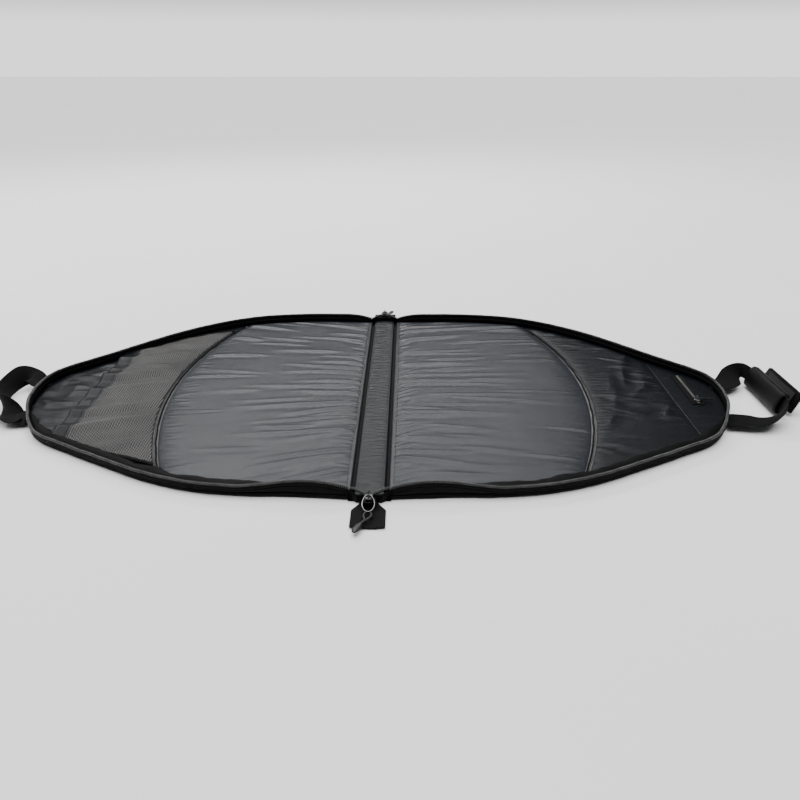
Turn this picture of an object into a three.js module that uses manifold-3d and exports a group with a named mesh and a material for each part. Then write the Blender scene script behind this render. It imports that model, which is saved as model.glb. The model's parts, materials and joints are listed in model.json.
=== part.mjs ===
// Zip-around padded gear bag, lying open flat with its inside up. Millimetres, +Z up.
// X runs from the left half to the right half, Y along the spine from front to back, and
// the origin is on the floor under the middle of the spine.
import * as THREE from "three";
import { mergeVertices } from "three/addons/utils/BufferGeometryUtils.js";
import Module from "manifold-3d";

const wasm = await Module();
wasm.setup();

// ---- Driving dimensions ----

const GAP = 0.3; // air between neighbouring layers and pieces

// Plan outline of the right half, from the spine's front end round the tip to its back end.
const SEAM_X = 24.5; // where a half begins, beside the spine
const RIM_POINTS = [
  [SEAM_X, -293.5], [92, -289], [150, -287.5], [210, -279], [270, -258], [330, -226], [390, -192],
  [445, -156], [484, -95], [499, -40], [499, 10], [484, 45], [440, 97], [345, 209], [250, 277],
  [150, 300], [SEAM_X, 300],
];
const RIM_STEPS = 44;

// Layers of a half, from the floor up.
const SHELL_T = 1.8;
const FOAM_T = 5;
const LINING_T = 1.2;
const LINING_Z = SHELL_T + GAP + FOAM_T + GAP;
const LINING_TOP = LINING_Z + LINING_T;
const PAD_CROWN = 2.6; // how far the padded centre swells above its seams
const CROWN = 0.8; // the same for the thinner end panels

// Rim: a bound bottom edge, a fabric wall, the zip tape and its coil. Insets are from the outline.
const BINDING = { outer: 0, inner: 4.6, low: 0.4, high: 5.5 };
const WALL = { outer: 1.2, inner: 3.4, low: 5.8, high: 16 };
const TAPE = { outer: 1.6, inner: 3, low: 16.3, high: 19.8 };
const COIL = { inset: 2.3, radius: 1.9, z: 22 };
const RIM_DIP = 7; // how far the zip sinks where it meets the spine
const DIP_SHARE = 0.035; // share of the rim's length over which it sinks
const SLUMP = { depth: 4.5, from: 0.06, to: 0.4, run: 0.05 }; // the front run lies lower

// Cross seams of the lining: x where a seam meets the rim, and how far it bows to the tip.
const ARC = { x: 252, bow: 56, half: 3.4, radius: 1.4 };
const HEM = { low: 397, high: 419 };
const CROSS_X = 429; // the straight seam beside the zipped pocket
const TIP_X = 484; // x at which an end panel's long edges turn into its tip edge

// Mesh pocket: sewn down along the arc, slack towards its hem.
const MESH_T = 1.2;
const MESH_SLACK = 7.5;

// Spine strip between the two fold lines.
const SPINE = { half: 15.5, front: -297, back: 301.3, shell: 1.8, foam: 3.5, lining: 2.5 };
const SPINE_WALL_T = 2.4;
const FRONT_END = { sign: -1, y: -297.3, wallTop: 10.5, patchZ: 6, sliderZ: 10.3 };
const BACK_END = { sign: 1, y: 301.6, wallTop: 15, patchZ: 11.6, sliderZ: 15.9 };

// Zip sliders with their ring, cord and moulded end.
const SLIDER = { length: 15, shoulder: 11, tail: 8, thick: 5.5, eye: 2.6, post: 2, roof: 1.8 };
const SLIDER_PIVOT = 7; // from the slider's wide end to the bar of its ring
const RING = { half: 7, length: 22, wire: 0.9 };
const PULL_CORD = { radius: 1.5, length: 17, z: 6 }; // z is its height over the floor, on the tab
const PULL_END = { length: 17, wide: 9, thick: 5, turn: 24 };

// End tabs, cut from the same webbing as the handles.
const TAB = { root: 20, wide: 39, reach: 54, thick: 1.7, low: 0.6, shoulder: 16 };

// Handles. Root y is the middle of the webbing where it is sewn to the tip.
const WEB = { wide: 38, thick: 2 };
const ROOT_Y = [-104, 14];
const ROOT_X = 474; // both roots are further out than this
// Distances out are from the chord between a tip's two roots.
const ROOT = { low: 8, high: 12, near: 4.6, far: 6.8, start: 10.8, z: 10 };

// Wrap-around grip on the right handle.
const GRIP = { x: 565, z: 18, front: -74, back: 30, thick: 4, room: 2.2, tilt: 18 };
const GRIP_WEB = { wide: 20, thick: 4 };
const FLAP = { x: 576.5, z: 3.4, tall: 31, thick: 4, lean: 24 };
const STRIP = { wide: 15, thick: 1 };

// Small zipped pocket on the right end panel.
const POCKET = { x: 458, front: -52, back: 42, tape: 17, tapeT: 0.8, coil: 4.6, coilT: 1.3 };
const POCKET_SLIDER = { wide: 8.6, length: 11, roof: 1.6, bridge: 2, post: 1.4 };
const POCKET_PULL = { near: 3, reach: 23, wide: 6, thick: 1.2 };

// ---- Materials ----

const finish = (color, roughness, metalness = 0) => () =>
  new THREE.MeshStandardMaterial({ color, roughness, metalness });
const shellCloth = finish(0x17191a, 0.7);
const foam = finish(0x55585a, 0.95);
const padSatin = finish(0x4c5054, 0.45);
const endSatin = finish(0x23282d, 0.4);
const meshCloth = finish(0x5c5d52, 0.6);
const trim = finish(0x1c1e1b, 0.75);
const webbing = finish(0x0e0f0f, 0.8);
const zipPlastic = finish(0x1a1b1b, 0.35);
const zipMetal = finish(0x5f6366, 0.3, 1);
const neoprene = finish(0x0f1012, 0.6);
const moulded = finish(0x121210, 0.5);

const bag = new THREE.Group();

function add(name, geometry, material) {
  const mesh = new THREE.Mesh(geometry, material());
  mesh.name = name;
  bag.add(mesh);
  return mesh;
}

// ---- Solids ----

const v2 = (x, y) => new THREE.Vector2(x, y);
const v3 = (x, y, z) => new THREE.Vector3(x, y, z);
const lerp = THREE.MathUtils.lerp;
const radians = THREE.MathUtils.degToRad;

// A closed surface from points and triangles, turned so that its faces point outwards.
function closedGeometry(points, triangles) {
  let volume = 0;
  for (const [a, b, c] of triangles)
    volume += points[a].dot(v3(0, 0, 0).crossVectors(points[b], points[c]));
  const index = triangles.flatMap(([a, b, c]) => (volume < 0 ? [a, c, b] : [a, b, c]));
  const geometry = new THREE.BufferGeometry();
  geometry.setFromPoints(points);
  geometry.setIndex(index);
  return geometry;
}

// A solid through a row of like sections; a ring row joins its last section to its first.
function loft(sections, ring = false) {
  const count = sections[0].length;
  const points = sections.flat();
  const triangles = [];
  const last = ring ? sections.length : sections.length - 1;
  for (let i = 0; i < last; i++)
    for (let j = 0; j < count; j++) {
      const next = (i + 1) % sections.length;
      const a = i * count + j;
      const b = i * count + ((j + 1) % count);
      const c = next * count + j;
      const d = next * count + ((j + 1) % count);
      triangles.push([a, b, d], [a, d, c]);
    }
  if (!ring)
    for (let j = 1; j < count - 1; j++) {
      const end = (sections.length - 1) * count;
      triangles.push([0, j + 1, j], [end, end + j, end + j + 1]);
    }
  return closedGeometry(points, triangles);
}

// A sheet over a grid of plan points, between its bottom and top heights.
function sheet(plan, columns, rows, bottom, top) {
  const points = [];
  const triangles = [];
  for (const height of [bottom, top])
    for (let i = 0; i <= columns; i++)
      for (let j = 0; j <= rows; j++) {
        const p = plan(i / columns, j / rows);
        points.push(v3(p.x, p.y, height(i / columns, j / rows)));
      }
  const layer = (columns + 1) * (rows + 1);
  const at = (i, j) => i * (rows + 1) + j;
  for (let i = 0; i < columns; i++)
    for (let j = 0; j < rows; j++) {
      const [a, b, c, d] = [at(i, j), at(i + 1, j), at(i + 1, j + 1), at(i, j + 1)];
      triangles.push([a, c, b], [a, d, c]);
      triangles.push([a + layer, b + layer, c + layer], [a + layer, c + layer, d + layer]);
    }
  const edge = [];
  for (let i = 0; i < columns; i++) edge.push(at(i, 0));
  for (let j = 0; j < rows; j++) edge.push(at(columns, j));
  for (let i = columns; i > 0; i--) edge.push(at(i, rows));
  for (let j = rows; j > 0; j--) edge.push(at(0, j));
  edge.forEach((a, k) => {
    const b = edge[(k + 1) % edge.length];
    triangles.push([a, b, b + layer], [a, b + layer, a + layer]);
  });
  return closedGeometry(points, triangles);
}

function toManifold(geometry) {
  const plain = geometry.clone();
  plain.deleteAttribute("normal");
  plain.deleteAttribute("uv");
  const merged = mergeVertices(plain, 1e-4);
  return new wasm.Manifold(
    new wasm.Mesh({
      numProp: 3,
      vertProperties: merged.attributes.position.array,
      triVerts: new Uint32Array(merged.index.array),
    }),
  );
}

function fromManifold(solid) {
  const { vertProperties, triVerts } = solid.getMesh();
  const geometry = new THREE.BufferGeometry();
  geometry.setAttribute("position", new THREE.BufferAttribute(vertProperties, 3));
  geometry.setIndex(new THREE.BufferAttribute(triVerts, 1));
  return geometry;
}

// A box between two corners.
function block(low, high) {
  const box = new THREE.BoxGeometry(high[0] - low[0], high[1] - low[1], high[2] - low[2]);
  return box.translate((low[0] + high[0]) / 2, (low[1] + high[1]) / 2, (low[2] + high[2]) / 2);
}

// A plan outline pulled up from one height to another.
function plate(points, low, high) {
  const shape = new THREE.Shape(points.map(([x, y]) => v2(x, y)));
  const depth = high - low;
  return new THREE.ExtrudeGeometry(shape, { depth, bevelEnabled: false }).translate(0, 0, low);
}

// A round tube through points.
function tube(points, radius, steps, sides = 8) {
  const path = new THREE.CatmullRomCurve3(points);
  const shape = new THREE.Shape();
  for (let i = 0; i < sides; i++) {
    const turn = (i / sides) * 2 * Math.PI;
    const [x, y] = [radius * Math.cos(turn), radius * Math.sin(turn)];
    if (i) shape.lineTo(x, y);
    else shape.moveTo(x, y);
  }
  return new THREE.ExtrudeGeometry(shape, { steps, extrudePath: path });
}

// Flat webbing through stations {at, across, wide, thick}, which may twist and narrow.
function ribbon(stations, steps) {
  const path = new THREE.CatmullRomCurve3(stations.map((s) => s.at));
  const across = new THREE.CatmullRomCurve3(stations.map((s) => s.across), false, "catmullrom", 0.5);
  const sections = [];
  for (let i = 0; i <= steps; i++) {
    const u = i / steps;
    const place = Math.min(u * (stations.length - 1), stations.length - 1 - 1e-9);
    const [from, to] = [stations[Math.floor(place)], stations[Math.floor(place) + 1]];
    const [wide, thick] = [lerp(from.wide, to.wide, place % 1), lerp(from.thick, to.thick, place % 1)];
    const tangent = path.getTangent(u);
    const side = across.getPoint(u);
    side.addScaledVector(tangent, -side.dot(tangent)).setLength(wide / 2);
    const normal = v3(0, 0, 0).crossVectors(tangent, side).setLength(thick / 2);
    const centre = path.getPoint(u);
    sections.push([
      centre.clone().sub(side).sub(normal), centre.clone().add(side).sub(normal),
      centre.clone().add(side).add(normal), centre.clone().sub(side).add(normal),
    ]);
  }
  return loft(sections);
}

// ---- The rim and the panels inside it ----

const rimCurve = new THREE.SplineCurve(RIM_POINTS.map(([x, y]) => v2(x, y)));

// A corner of the rim's polygon, moved inwards by inset.
function rimCorner(i, inset) {
  const point = rimCurve.getPointAt(i / RIM_STEPS);
  const tangent = rimCurve.getTangentAt(i / RIM_STEPS);
  return v2(point.x - inset * tangent.y, point.y + inset * tangent.x);
}

// A point of the outline at share u of its length, moved inwards by inset. side is -1 or 1.
function rim(u, inset, side) {
  const place = Math.min(Math.max(u * RIM_STEPS, 0), RIM_STEPS - 1e-9);
  const i = Math.floor(place);
  const point = rimCorner(i, inset).lerp(rimCorner(i + 1, inset), place - i);
  return v2(side * point.x, point.y);
}

// The share of the outline's length at which it reaches x, on the front or the back run.
function shareAt(x, back) {
  let [low, high] = back ? [1, 0.5] : [0, 0.5];
  for (let i = 0; i < 40; i++) {
    const middle = (low + high) / 2;
    if (rimCurve.getPointAt(middle).x < x) low = middle;
    else high = middle;
  }
  return low;
}

// How far the zip has sunk at share u: near either end of the rim, and along its front run.
function dip(u) {
  const near = Math.min(Math.min(u, 1 - u) / DIP_SHARE, 1);
  const { depth, from, to, run } = SLUMP;
  const rise = THREE.MathUtils.smoothstep(u, from - run, from + run);
  const fall = THREE.MathUtils.smoothstep(u, to - run, to + run);
  return RIM_DIP * (1 - near) ** 2 + depth * (rise - fall);
}

// A band that follows the rim between two insets and two heights.
function rimBand(side, { outer, inner, low, high }, lowSinks, highSinks) {
  const sections = [];
  for (let i = 0; i <= RIM_STEPS; i++) {
    const u = i / RIM_STEPS;
    const [a, b] = [rim(u, outer, side), rim(u, inner, side)];
    const z0 = low - (lowSinks ? dip(u) : 0);
    const z1 = high - (highSinks ? dip(u) : 0);
    sections.push([v3(a.x, a.y, z0), v3(b.x, b.y, z0), v3(b.x, b.y, z1), v3(a.x, a.y, z1)]);
  }
  return loft(sections);
}

// The zip's coil, as a six-sided rod along the rim.
function rimCoil(side) {
  const sides = 6;
  const sections = [];
  for (let i = 0; i <= RIM_STEPS; i++) {
    const u = i / RIM_STEPS;
    const section = [];
    for (let j = 0; j < sides; j++) {
      const turn = (j / sides) * 2 * Math.PI;
      const p = rim(u, COIL.inset + COIL.radius * Math.cos(turn), side);
      section.push(v3(p.x, p.y, COIL.z - dip(u) + COIL.radius * Math.sin(turn)));
    }
    sections.push(section);
  }
  return loft(sections);
}

// A cross seam from the front rim to the back rim, moved by shift along X.
function crossSeam({ x, bow }, shift, inset, side) {
  const [front, back] = [shareAt(x + shift, false), shareAt(x + shift, true)];
  const [a, b] = [rim(front, inset, side), rim(back, inset, side)];
  const at = (t) => v2(lerp(a.x, b.x, t) + side * bow * 4 * t * (1 - t), lerp(a.y, b.y, t));
  return { front, back, at };
}

// The straight seam beside the spine.
function spineSeam(inset, side) {
  const [a, b] = [rim(0, inset, side), rim(1, inset, side)];
  return { front: 0, back: 1, at: (t) => v2(side * SEAM_X, lerp(a.y, b.y, t)) };
}

// The tip edge of an end panel, which is a stretch of the rim.
function tipEdge(inset, side) {
  const [front, back] = [shareAt(TIP_X, false), shareAt(TIP_X, true)];
  return { front, back, at: (t) => rim(lerp(front, back, t), inset, side) };
}

// Plan of a panel between two seams: s runs from the spine to the tip, t from front to back.
function panelPlan(from, to, inset, side) {
  const front = (s) => rim(lerp(from.front, to.front, s), inset, side);
  const back = (s) => rim(lerp(from.back, to.back, s), inset, side);
  const corners = [from.at(0), to.at(0), from.at(1), to.at(1)];
  return (s, t) => {
    const point = v2(0, 0);
    point.addScaledVector(s === 0 ? from.at(0) : front(s), 1 - t);
    point.addScaledVector(s === 0 ? from.at(1) : back(s), t);
    point.addScaledVector(from.at(t), 1 - s).addScaledVector(to.at(t), s);
    point.addScaledVector(corners[0], -(1 - s) * (1 - t)).addScaledVector(corners[1], -s * (1 - t));
    point.addScaledVector(corners[2], -(1 - s) * t).addScaledVector(corners[3], -s * t);
    return point;
  };
}

const level = (z) => () => z;
const crowned = (z, rise) => (s, t) => z + rise * (16 * s * (1 - s) * t * (1 - t)) ** 0.6;

// ---- One half of the bag ----

function halfLayers(side, name) {
  const whole = (inset) => panelPlan(spineSeam(inset, side), tipEdge(inset, side), inset, side);
  const shellInset = BINDING.inner + GAP;
  const foamInset = BINDING.inner + 2;
  const foamLow = SHELL_T + GAP;
  add(`shell_${name}`, sheet(whole(shellInset), 12, 10, level(0), level(SHELL_T)), shellCloth);
  const foamPlan = whole(foamInset);
  add(`foam_${name}`, sheet(foamPlan, 12, 10, level(foamLow), level(foamLow + FOAM_T)), foam);
}

function halfRim(side, name) {
  add(`edge_binding_${name}`, rimBand(side, BINDING, false, false), trim);
  add(`side_wall_${name}`, rimBand(side, WALL, false, true), shellCloth);
  add(`zip_tape_${name}`, rimBand(side, TAPE, true, true), trim);
  add(`zip_coil_${name}`, rimCoil(side), zipPlastic);
}

function centrePad(side, name) {
  const inset = WALL.inner + GAP;
  const edge = crossSeam(ARC, -ARC.half - GAP, inset, side);
  const plan = panelPlan(spineSeam(inset, side), edge, inset, side);
  const top = crowned(LINING_TOP, PAD_CROWN);
  add(`centre_pad_${name}`, sheet(plan, 10, 12, level(LINING_Z), top), padSatin);
}

function arcPiping(side, name) {
  const seam = crossSeam(ARC, 0, WALL.inner + 2.5, side);
  const steps = 12;
  const points = [];
  for (let i = 0; i <= steps; i++) {
    const p = seam.at(i / steps);
    points.push(v3(p.x, p.y, LINING_Z + GAP + ARC.radius));
  }
  add(`arc_piping_${name}`, tube(points, ARC.radius - GAP / 2, steps * 2), trim);
}

// The left half's end: lining under the mesh, the mesh with its hem, and the end panel.
function leftEnd() {
  const [side, inset] = [-1, WALL.inner + GAP];
  const arc = crossSeam(ARC, ARC.half + GAP, inset, side);
  const straight = (x) => crossSeam({ x, bow: 0 }, 0, inset, side);
  const liningPlan = panelPlan(arc, straight(HEM.high), inset, side);
  const flat = sheet(liningPlan, 8, 10, level(LINING_Z), level(LINING_TOP));
  add("pocket_lining_left", flat, endSatin);

  const meshLow = LINING_TOP + GAP;
  const slack = (s, t) => MESH_SLACK * s * Math.sin(Math.PI * t) ** 0.5;
  const meshPlan = panelPlan(arc, straight(HEM.low - GAP), inset, side);
  const under = (s, t) => meshLow + slack(s, t);
  const over = (s, t) => under(s, t) + MESH_T;
  add("mesh_pocket_left", sheet(meshPlan, 8, 14, under, over), meshCloth);

  const hemPlan = panelPlan(straight(HEM.low), straight(HEM.high), inset, side);
  const hemUnder = (s, t) => meshLow + slack(1, t);
  const hemOver = (s, t) => hemUnder(s, t) + MESH_T + 0.6;
  add("mesh_hem_left", sheet(hemPlan, 2, 14, hemUnder, hemOver), trim);

  const endPlan = panelPlan(straight(HEM.high + GAP), tipEdge(inset, side), inset, side);
  const endTop = crowned(LINING_TOP, CROWN);
  add("end_panel_left", sheet(endPlan, 5, 8, level(LINING_Z), endTop), endSatin);
}

// The right half's end: a plain panel, then the end panel that carries the zipped pocket.
function rightEnd() {
  const [side, inset] = [1, WALL.inner + GAP];
  const arc = crossSeam(ARC, ARC.half + GAP, inset, side);
  const straight = (x) => crossSeam({ x, bow: 0 }, 0, inset, side);
  const panel = panelPlan(arc, straight(CROSS_X - GAP), inset, side);
  const top = crowned(LINING_TOP, CROWN);
  add("pocket_panel_right", sheet(panel, 7, 10, level(LINING_Z), top), endSatin);
  const endPlan = panelPlan(straight(CROSS_X), tipEdge(inset, side), inset, side);
  add("end_panel_right", sheet(endPlan, 5, 8, level(LINING_Z), level(LINING_TOP)), endSatin);
}

// ---- Spine, its end walls, sliders and tabs ----

function spine() {
  const { half, front, back, shell } = SPINE;
  add("spine_outer", block([-half, front, 0], [half, back, shell]), shellCloth);
  const foamLow = shell + GAP;
  const foamTop = foamLow + SPINE.foam;
  add("spine_foam", block([-half, front + 1, foamLow], [half, back - 1, foamTop]), foam);
  const plan = (s, t) => v2(lerp(-half, half, s), lerp(front, back, t));
  const [low, high] = [foamTop + GAP, foamTop + GAP + 1.4];
  const puff = (s, t) => high + (SPINE.lining - 1.4) * Math.sin(Math.PI * s);
  add("spine_lining", sheet(plan, 6, 8, level(low), puff), padSatin);
}

// A slider with a bridge over the eye that its ring runs in. It points along +Y.
function sliderGeometry() {
  const { length, shoulder, tail, thick, eye, post, roof } = SLIDER;
  const outline = [
    [-shoulder / 2, 0], [shoulder / 2, 0], [shoulder / 2, length * 0.35],
    [tail / 2, length], [-tail / 2, length], [-shoulder / 2, length * 0.35],
  ];
  const body = toManifold(plate(outline, 0, thick));
  const half = 1.5;
  const [near, far] = [SLIDER_PIVOT - 4.5, SLIDER_PIVOT + 4.5];
  const arch = toManifold(block([-half, near, thick - 1], [half, far, thick + eye + roof]));
  const hole = toManifold(block([-half - 1, near + post, thick], [half + 1, far - post, thick + eye]));
  return fromManifold(body.add(arch.subtract(hole)));
}

// A closed wire ring that starts at its hinge bar and reaches along +Y.
function ringGeometry() {
  const { half, length, wire } = RING;
  const bend = half - 1;
  const path = [];
  for (let i = 0; i <= 6; i++) {
    const turn = (i / 6) * Math.PI;
    path.push(v3(half * Math.cos(turn), length - bend + bend * Math.sin(turn), 0));
  }
  path.push(v3(-half, bend / 2, 0), v3(-half + 1.2, 0, 0), v3(half - 1.2, 0, 0), v3(half, bend / 2, 0));
  const sections = path.map((point, i) => {
    const before = path[(i + path.length - 1) % path.length];
    const after = path[(i + 1) % path.length];
    const out = v3(0, 0, 0).subVectors(after, before).normalize().cross(v3(0, 0, 1));
    const section = [];
    for (let j = 0; j < 6; j++) {
      const turn = (j / 6) * 2 * Math.PI;
      const offset = out.clone().multiplyScalar(wire * Math.cos(turn));
      section.push(point.clone().add(offset).add(v3(0, 0, wire * Math.sin(turn))));
    }
    return section;
  });
  return loft(sections, true);
}

// Everything at one end of the spine. sign is -1 at the front and 1 at the back.
function spineEnd({ sign, y, wallTop, patchZ, sliderZ }, name) {
  const group = new THREE.Group();
  group.position.set(0, y, 0);
  if (sign < 0) group.rotation.z = Math.PI;
  bag.add(group);
  const place = (label, geometry, material) => group.add(add(`${label}_${name}`, geometry, material));

  const wall = block([-SPINE.half, 0, 1], [SPINE.half, SPINE_WALL_T, wallTop]);
  place("spine_wall", wall, shellCloth);
  const outside = SPINE_WALL_T + GAP;
  const tape = block([-8, outside, patchZ], [8, outside + 14, sliderZ - GAP]);
  place("zip_end_patch", tape, trim);
  const tab = [
    [-TAB.root / 2, outside], [TAB.root / 2, outside], [TAB.wide / 2, TAB.shoulder],
    [TAB.wide / 2, TAB.reach], [-TAB.wide / 2, TAB.reach], [-TAB.wide / 2, TAB.shoulder],
  ];
  place("end_tab", plate(tab, TAB.low, TAB.low + TAB.thick), webbing);

  const sliderStart = outside + 1;
  place("slider", sliderGeometry().translate(0, sliderStart, sliderZ), zipMetal);

  // The ring turns about a bar in the slider's eye and slopes down to the cord on the tab.
  const pivotZ = sliderZ + SLIDER.thick + SLIDER.eye / 2;
  const reach = RING.length + RING.wire + PULL_CORD.radius + GAP;
  const slope = Math.asin((pivotZ - PULL_CORD.z) / reach);
  const pull = new THREE.Group();
  pull.position.set(0, sliderStart + SLIDER_PIVOT, pivotZ);
  pull.rotation.x = -slope;
  group.add(pull);
  const tail = new THREE.Group();
  tail.position.set(0, reach, 0);
  tail.rotation.x = slope;
  pull.add(tail);
  pull.add(add(`pull_ring_${name}`, ringGeometry(), zipMetal));
  const { radius, length } = PULL_CORD;
  const cord = [v3(-4, 0, 0), v3(-3, 0.35 * length, 0), v3(1, 0.7 * length, 0), v3(6, length, 0)];
  tail.add(add(`pull_cord_${name}`, tube(cord, radius, 8), moulded));
  const { wide, thick } = PULL_END;
  const grip = block([-wide / 2, 0, -thick / 2], [wide / 2, PULL_END.length, thick / 2]);
  grip.rotateZ(-radians(PULL_END.turn)).translate(8, length + 2.2, 0);
  tail.add(add(`pull_end_${name}`, grip, moulded));
}

// ---- Handles ----

// The outline's corner point at y, near the tip.
function tipPoint(y, side) {
  const [front, back] = [shareAt(ROOT_X, false), shareAt(ROOT_X, true)];
  let best = front;
  for (let i = 0; i <= 200; i++) {
    const u = lerp(front, back, i / 200);
    if (Math.abs(rimCurve.getPointAt(u).y - y) < Math.abs(rimCurve.getPointAt(best).y - y)) best = u;
  }
  const point = rimCurve.getPointAt(best);
  return v2(side * point.x, point.y);
}

// A place beside a handle's root. Both roots of a handle lie along one chord of the tip, so
// that the handle can swing about it: out is measured from the chord, along from the root.
function rootPlace(y, side, out, along) {
  const [front, back] = ROOT_Y.map((end) => tipPoint(end, side));
  const chord = back.clone().sub(front).normalize();
  const outwards = v2(side * chord.y, -side * chord.x);
  const place = tipPoint(y, side).addScaledVector(outwards, out).addScaledVector(chord, along);
  return { place, chord };
}

function handleRoot(y, side, name) {
  const half = WEB.wide / 2;
  const corners = [[ROOT.near, -half], [ROOT.far, -half], [ROOT.far, half], [ROOT.near, half]];
  const outline = corners.map(([out, along]) => rootPlace(y, side, out, along).place.toArray());
  add(name, plate(outline, ROOT.low, ROOT.high), webbing);
}

// A station of webbing at (x, y, z), its width lying along (ax, ay, az).
const station = (x, y, z, ax, ay, az, wide = WEB.wide, thick = WEB.thick) => ({
  at: v3(x, y, z),
  across: v3(ax, ay, az),
  wide,
  thick,
});

// The first stations of a handle, which leave the root square to the chord.
function rootStations(y, side) {
  return [0, 4, 8].map((further) => {
    const out = ROOT.start + further;
    const { place, chord } = rootPlace(y, side, out, 0);
    return station(place.x, place.y, ROOT.z, chord.x, chord.y, 0);
  });
}

function leftHandle() {
  const loop = [
    ...rootStations(ROOT_Y[1], -1),
    station(-527, 19, 16, -0.25, 0.9, 0.45, 35),
    station(-536, 11, 21, -0.4, 0.45, 0.85, 31),
    station(-540, -12, 21.5, -0.25, 0.05, 1, 31),
    station(-539, -42, 20.5, -0.25, 0, 1, 31),
    station(-530, -70, 18.5, -0.45, 0.3, 0.9, 31),
    station(-514, -92, 14.5, -0.2, 0.8, 0.5, 34),
    ...rootStations(ROOT_Y[0], -1).reverse(),
  ];
  add("handle_web_left", ribbon(loop, 44), webbing);
}

function rightHandle() {
  const turn = radians(GRIP.tilt);
  const inGrip = (y) => {
    const { wide, thick } = GRIP_WEB;
    return station(GRIP.x, y, GRIP.z, Math.sin(turn), 0, Math.cos(turn), wide, thick);
  };
  const loop = [
    ...rootStations(ROOT_Y[1], 1),
    station(529, 22, 12, 0, 1, 0.15),
    station(541, 42, 15, -0.2, 0.8, 0.4, 30),
    station(558, 52, 17.5, 0.2, 0.4, 0.9, 22, 3.6),
    ...[4, -6, -34].map((d) => inGrip(GRIP.back + d)),
    ...[34, 6, -4].map((d) => inGrip(GRIP.front + d)),
    station(560, -90, 17, 0.2, -0.4, 0.9, 22, 3.6),
    station(543, -103, 14, 0.2, -0.8, 0.5, 32, 2.4),
    station(520, -110, 11, 0.1, -1, 0.1),
    ...rootStations(ROOT_Y[0], 1).reverse(),
  ];
  // The webbing turns half over on its way through the grip.
  loop.slice(-3).forEach((s) => s.across.negate());
  add("handle_web_right", ribbon(loop, 80), webbing);
}

// A C-shaped sleeve round the webbing, open towards the tip, with a strip of loop tape on it.
function gripSleeve() {
  const { thick, front, back } = GRIP;
  const inner = { wide: GRIP_WEB.wide / 2 + GRIP.room, deep: GRIP_WEB.thick / 2 + GRIP.room };
  const outer = { wide: inner.wide + thick, deep: inner.deep + thick };
  const lip = inner.wide - 9;
  const section = new THREE.Shape([
    v2(outer.deep, outer.wide - 3), v2(outer.deep - 3, outer.wide), v2(3 - outer.deep, outer.wide),
    v2(-outer.deep, outer.wide - 3), v2(-outer.deep, 3 - outer.wide), v2(3 - outer.deep, -outer.wide),
    v2(outer.deep - 3, -outer.wide), v2(outer.deep, 3 - outer.wide), v2(outer.deep, -lip),
    v2(inner.deep, -lip), v2(inner.deep, -inner.wide), v2(-inner.deep, -inner.wide),
    v2(-inner.deep, inner.wide), v2(inner.deep, inner.wide), v2(inner.deep, lip), v2(outer.deep, lip),
  ]);
  const length = back - front;
  const sleeve = new THREE.ExtrudeGeometry(section, { depth: length, bevelEnabled: false });
  const group = new THREE.Group();
  group.position.set(GRIP.x, back, GRIP.z);
  group.rotation.y = radians(GRIP.tilt);
  bag.add(group);
  group.add(add("grip_sleeve", sleeve.rotateX(Math.PI / 2), neoprene));
  const face = outer.deep + GAP;
  const strip = block([face, 12 - length, lip + 1], [face + STRIP.thick, -12, lip + 9]);
  group.add(add("grip_loop_strip", strip, trim));
}

// The outer flap leans away from the sleeve; its hinge line is its lower edge.
function gripFlap() {
  const length = GRIP.back - GRIP.front - 4;
  const group = new THREE.Group();
  group.position.set(FLAP.x, GRIP.back - 2, FLAP.z);
  group.rotation.y = radians(FLAP.lean);
  bag.add(group);
  const low = 2;
  const flap = block([0, -length, low], [FLAP.thick, 0, FLAP.tall]);
  group.add(add("grip_flap", flap, neoprene));
  const [z0, z1] = [FLAP.tall - STRIP.wide - 3, FLAP.tall - 3];
  const strip = block([-GAP - STRIP.thick, 12 - length, z0], [-GAP, -12, z1]);
  group.add(add("grip_hook_strip", strip, trim));
}

// ---- Small zipped pocket ----

function zippedPocket() {
  const { x, front, back, tape, tapeT, coil, coilT } = POCKET;
  const tapeLow = LINING_TOP + GAP;
  const coilLow = tapeLow + tapeT + GAP;
  const tapeBlock = block([x - tape / 2, front - 4, tapeLow], [x + tape / 2, back + 4, tapeLow + tapeT]);
  add("pocket_zip_tape", tapeBlock, trim);
  const rod = block([x - coil / 2, front - 2, coilLow], [x + coil / 2, back + 2, coilLow + coilT]);
  add("pocket_zip_coil", rod, zipPlastic);

  // The slider wraps over the coil and carries a low bridge for its pull.
  const { wide, length, roof, bridge, post } = POCKET_SLIDER;
  const start = front + 2;
  const [slotTop, top] = [coilLow + coilT + GAP, coilLow + coilT + GAP + roof];
  const slotHalf = coil / 2 + GAP;
  const body = toManifold(block([x - wide / 2, start, coilLow], [x + wide / 2, start + length, top]));
  const slot = block([x - slotHalf, start - 1, coilLow - 1], [x + slotHalf, start + length + 1, slotTop]);
  const [near, far] = [start + 1.5, start + length - 1.5];
  const arch = block([x - bridge / 2, near, top - 0.5], [x + bridge / 2, far, top + 3.2]);
  const eye = block([x - bridge, near + post, top], [x + bridge, far - post, top + 2]);
  const hoop = toManifold(arch).subtract(toManifold(eye));
  add("pocket_slider", fromManifold(body.subtract(toManifold(slot)).add(hoop)), zipMetal);

  // The pull lies towards the tip, with a hole near its far end.
  const { near: clear, reach, wide: pullWide, thick } = POCKET_PULL;
  const low = top + GAP;
  const y = start + length / 2;
  const [from, to] = [x + clear, x + reach];
  const tab = block([from, y - pullWide / 2, low], [to, y + pullWide / 2, low + thick]);
  const hole = block([to - 6, y - 1.6, low - 1], [to - 2, y + 1.6, low + thick + 1]);
  add("pocket_pull", fromManifold(toManifold(tab).subtract(toManifold(hole))), zipMetal);
}

// ---- The whole bag ----

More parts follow.
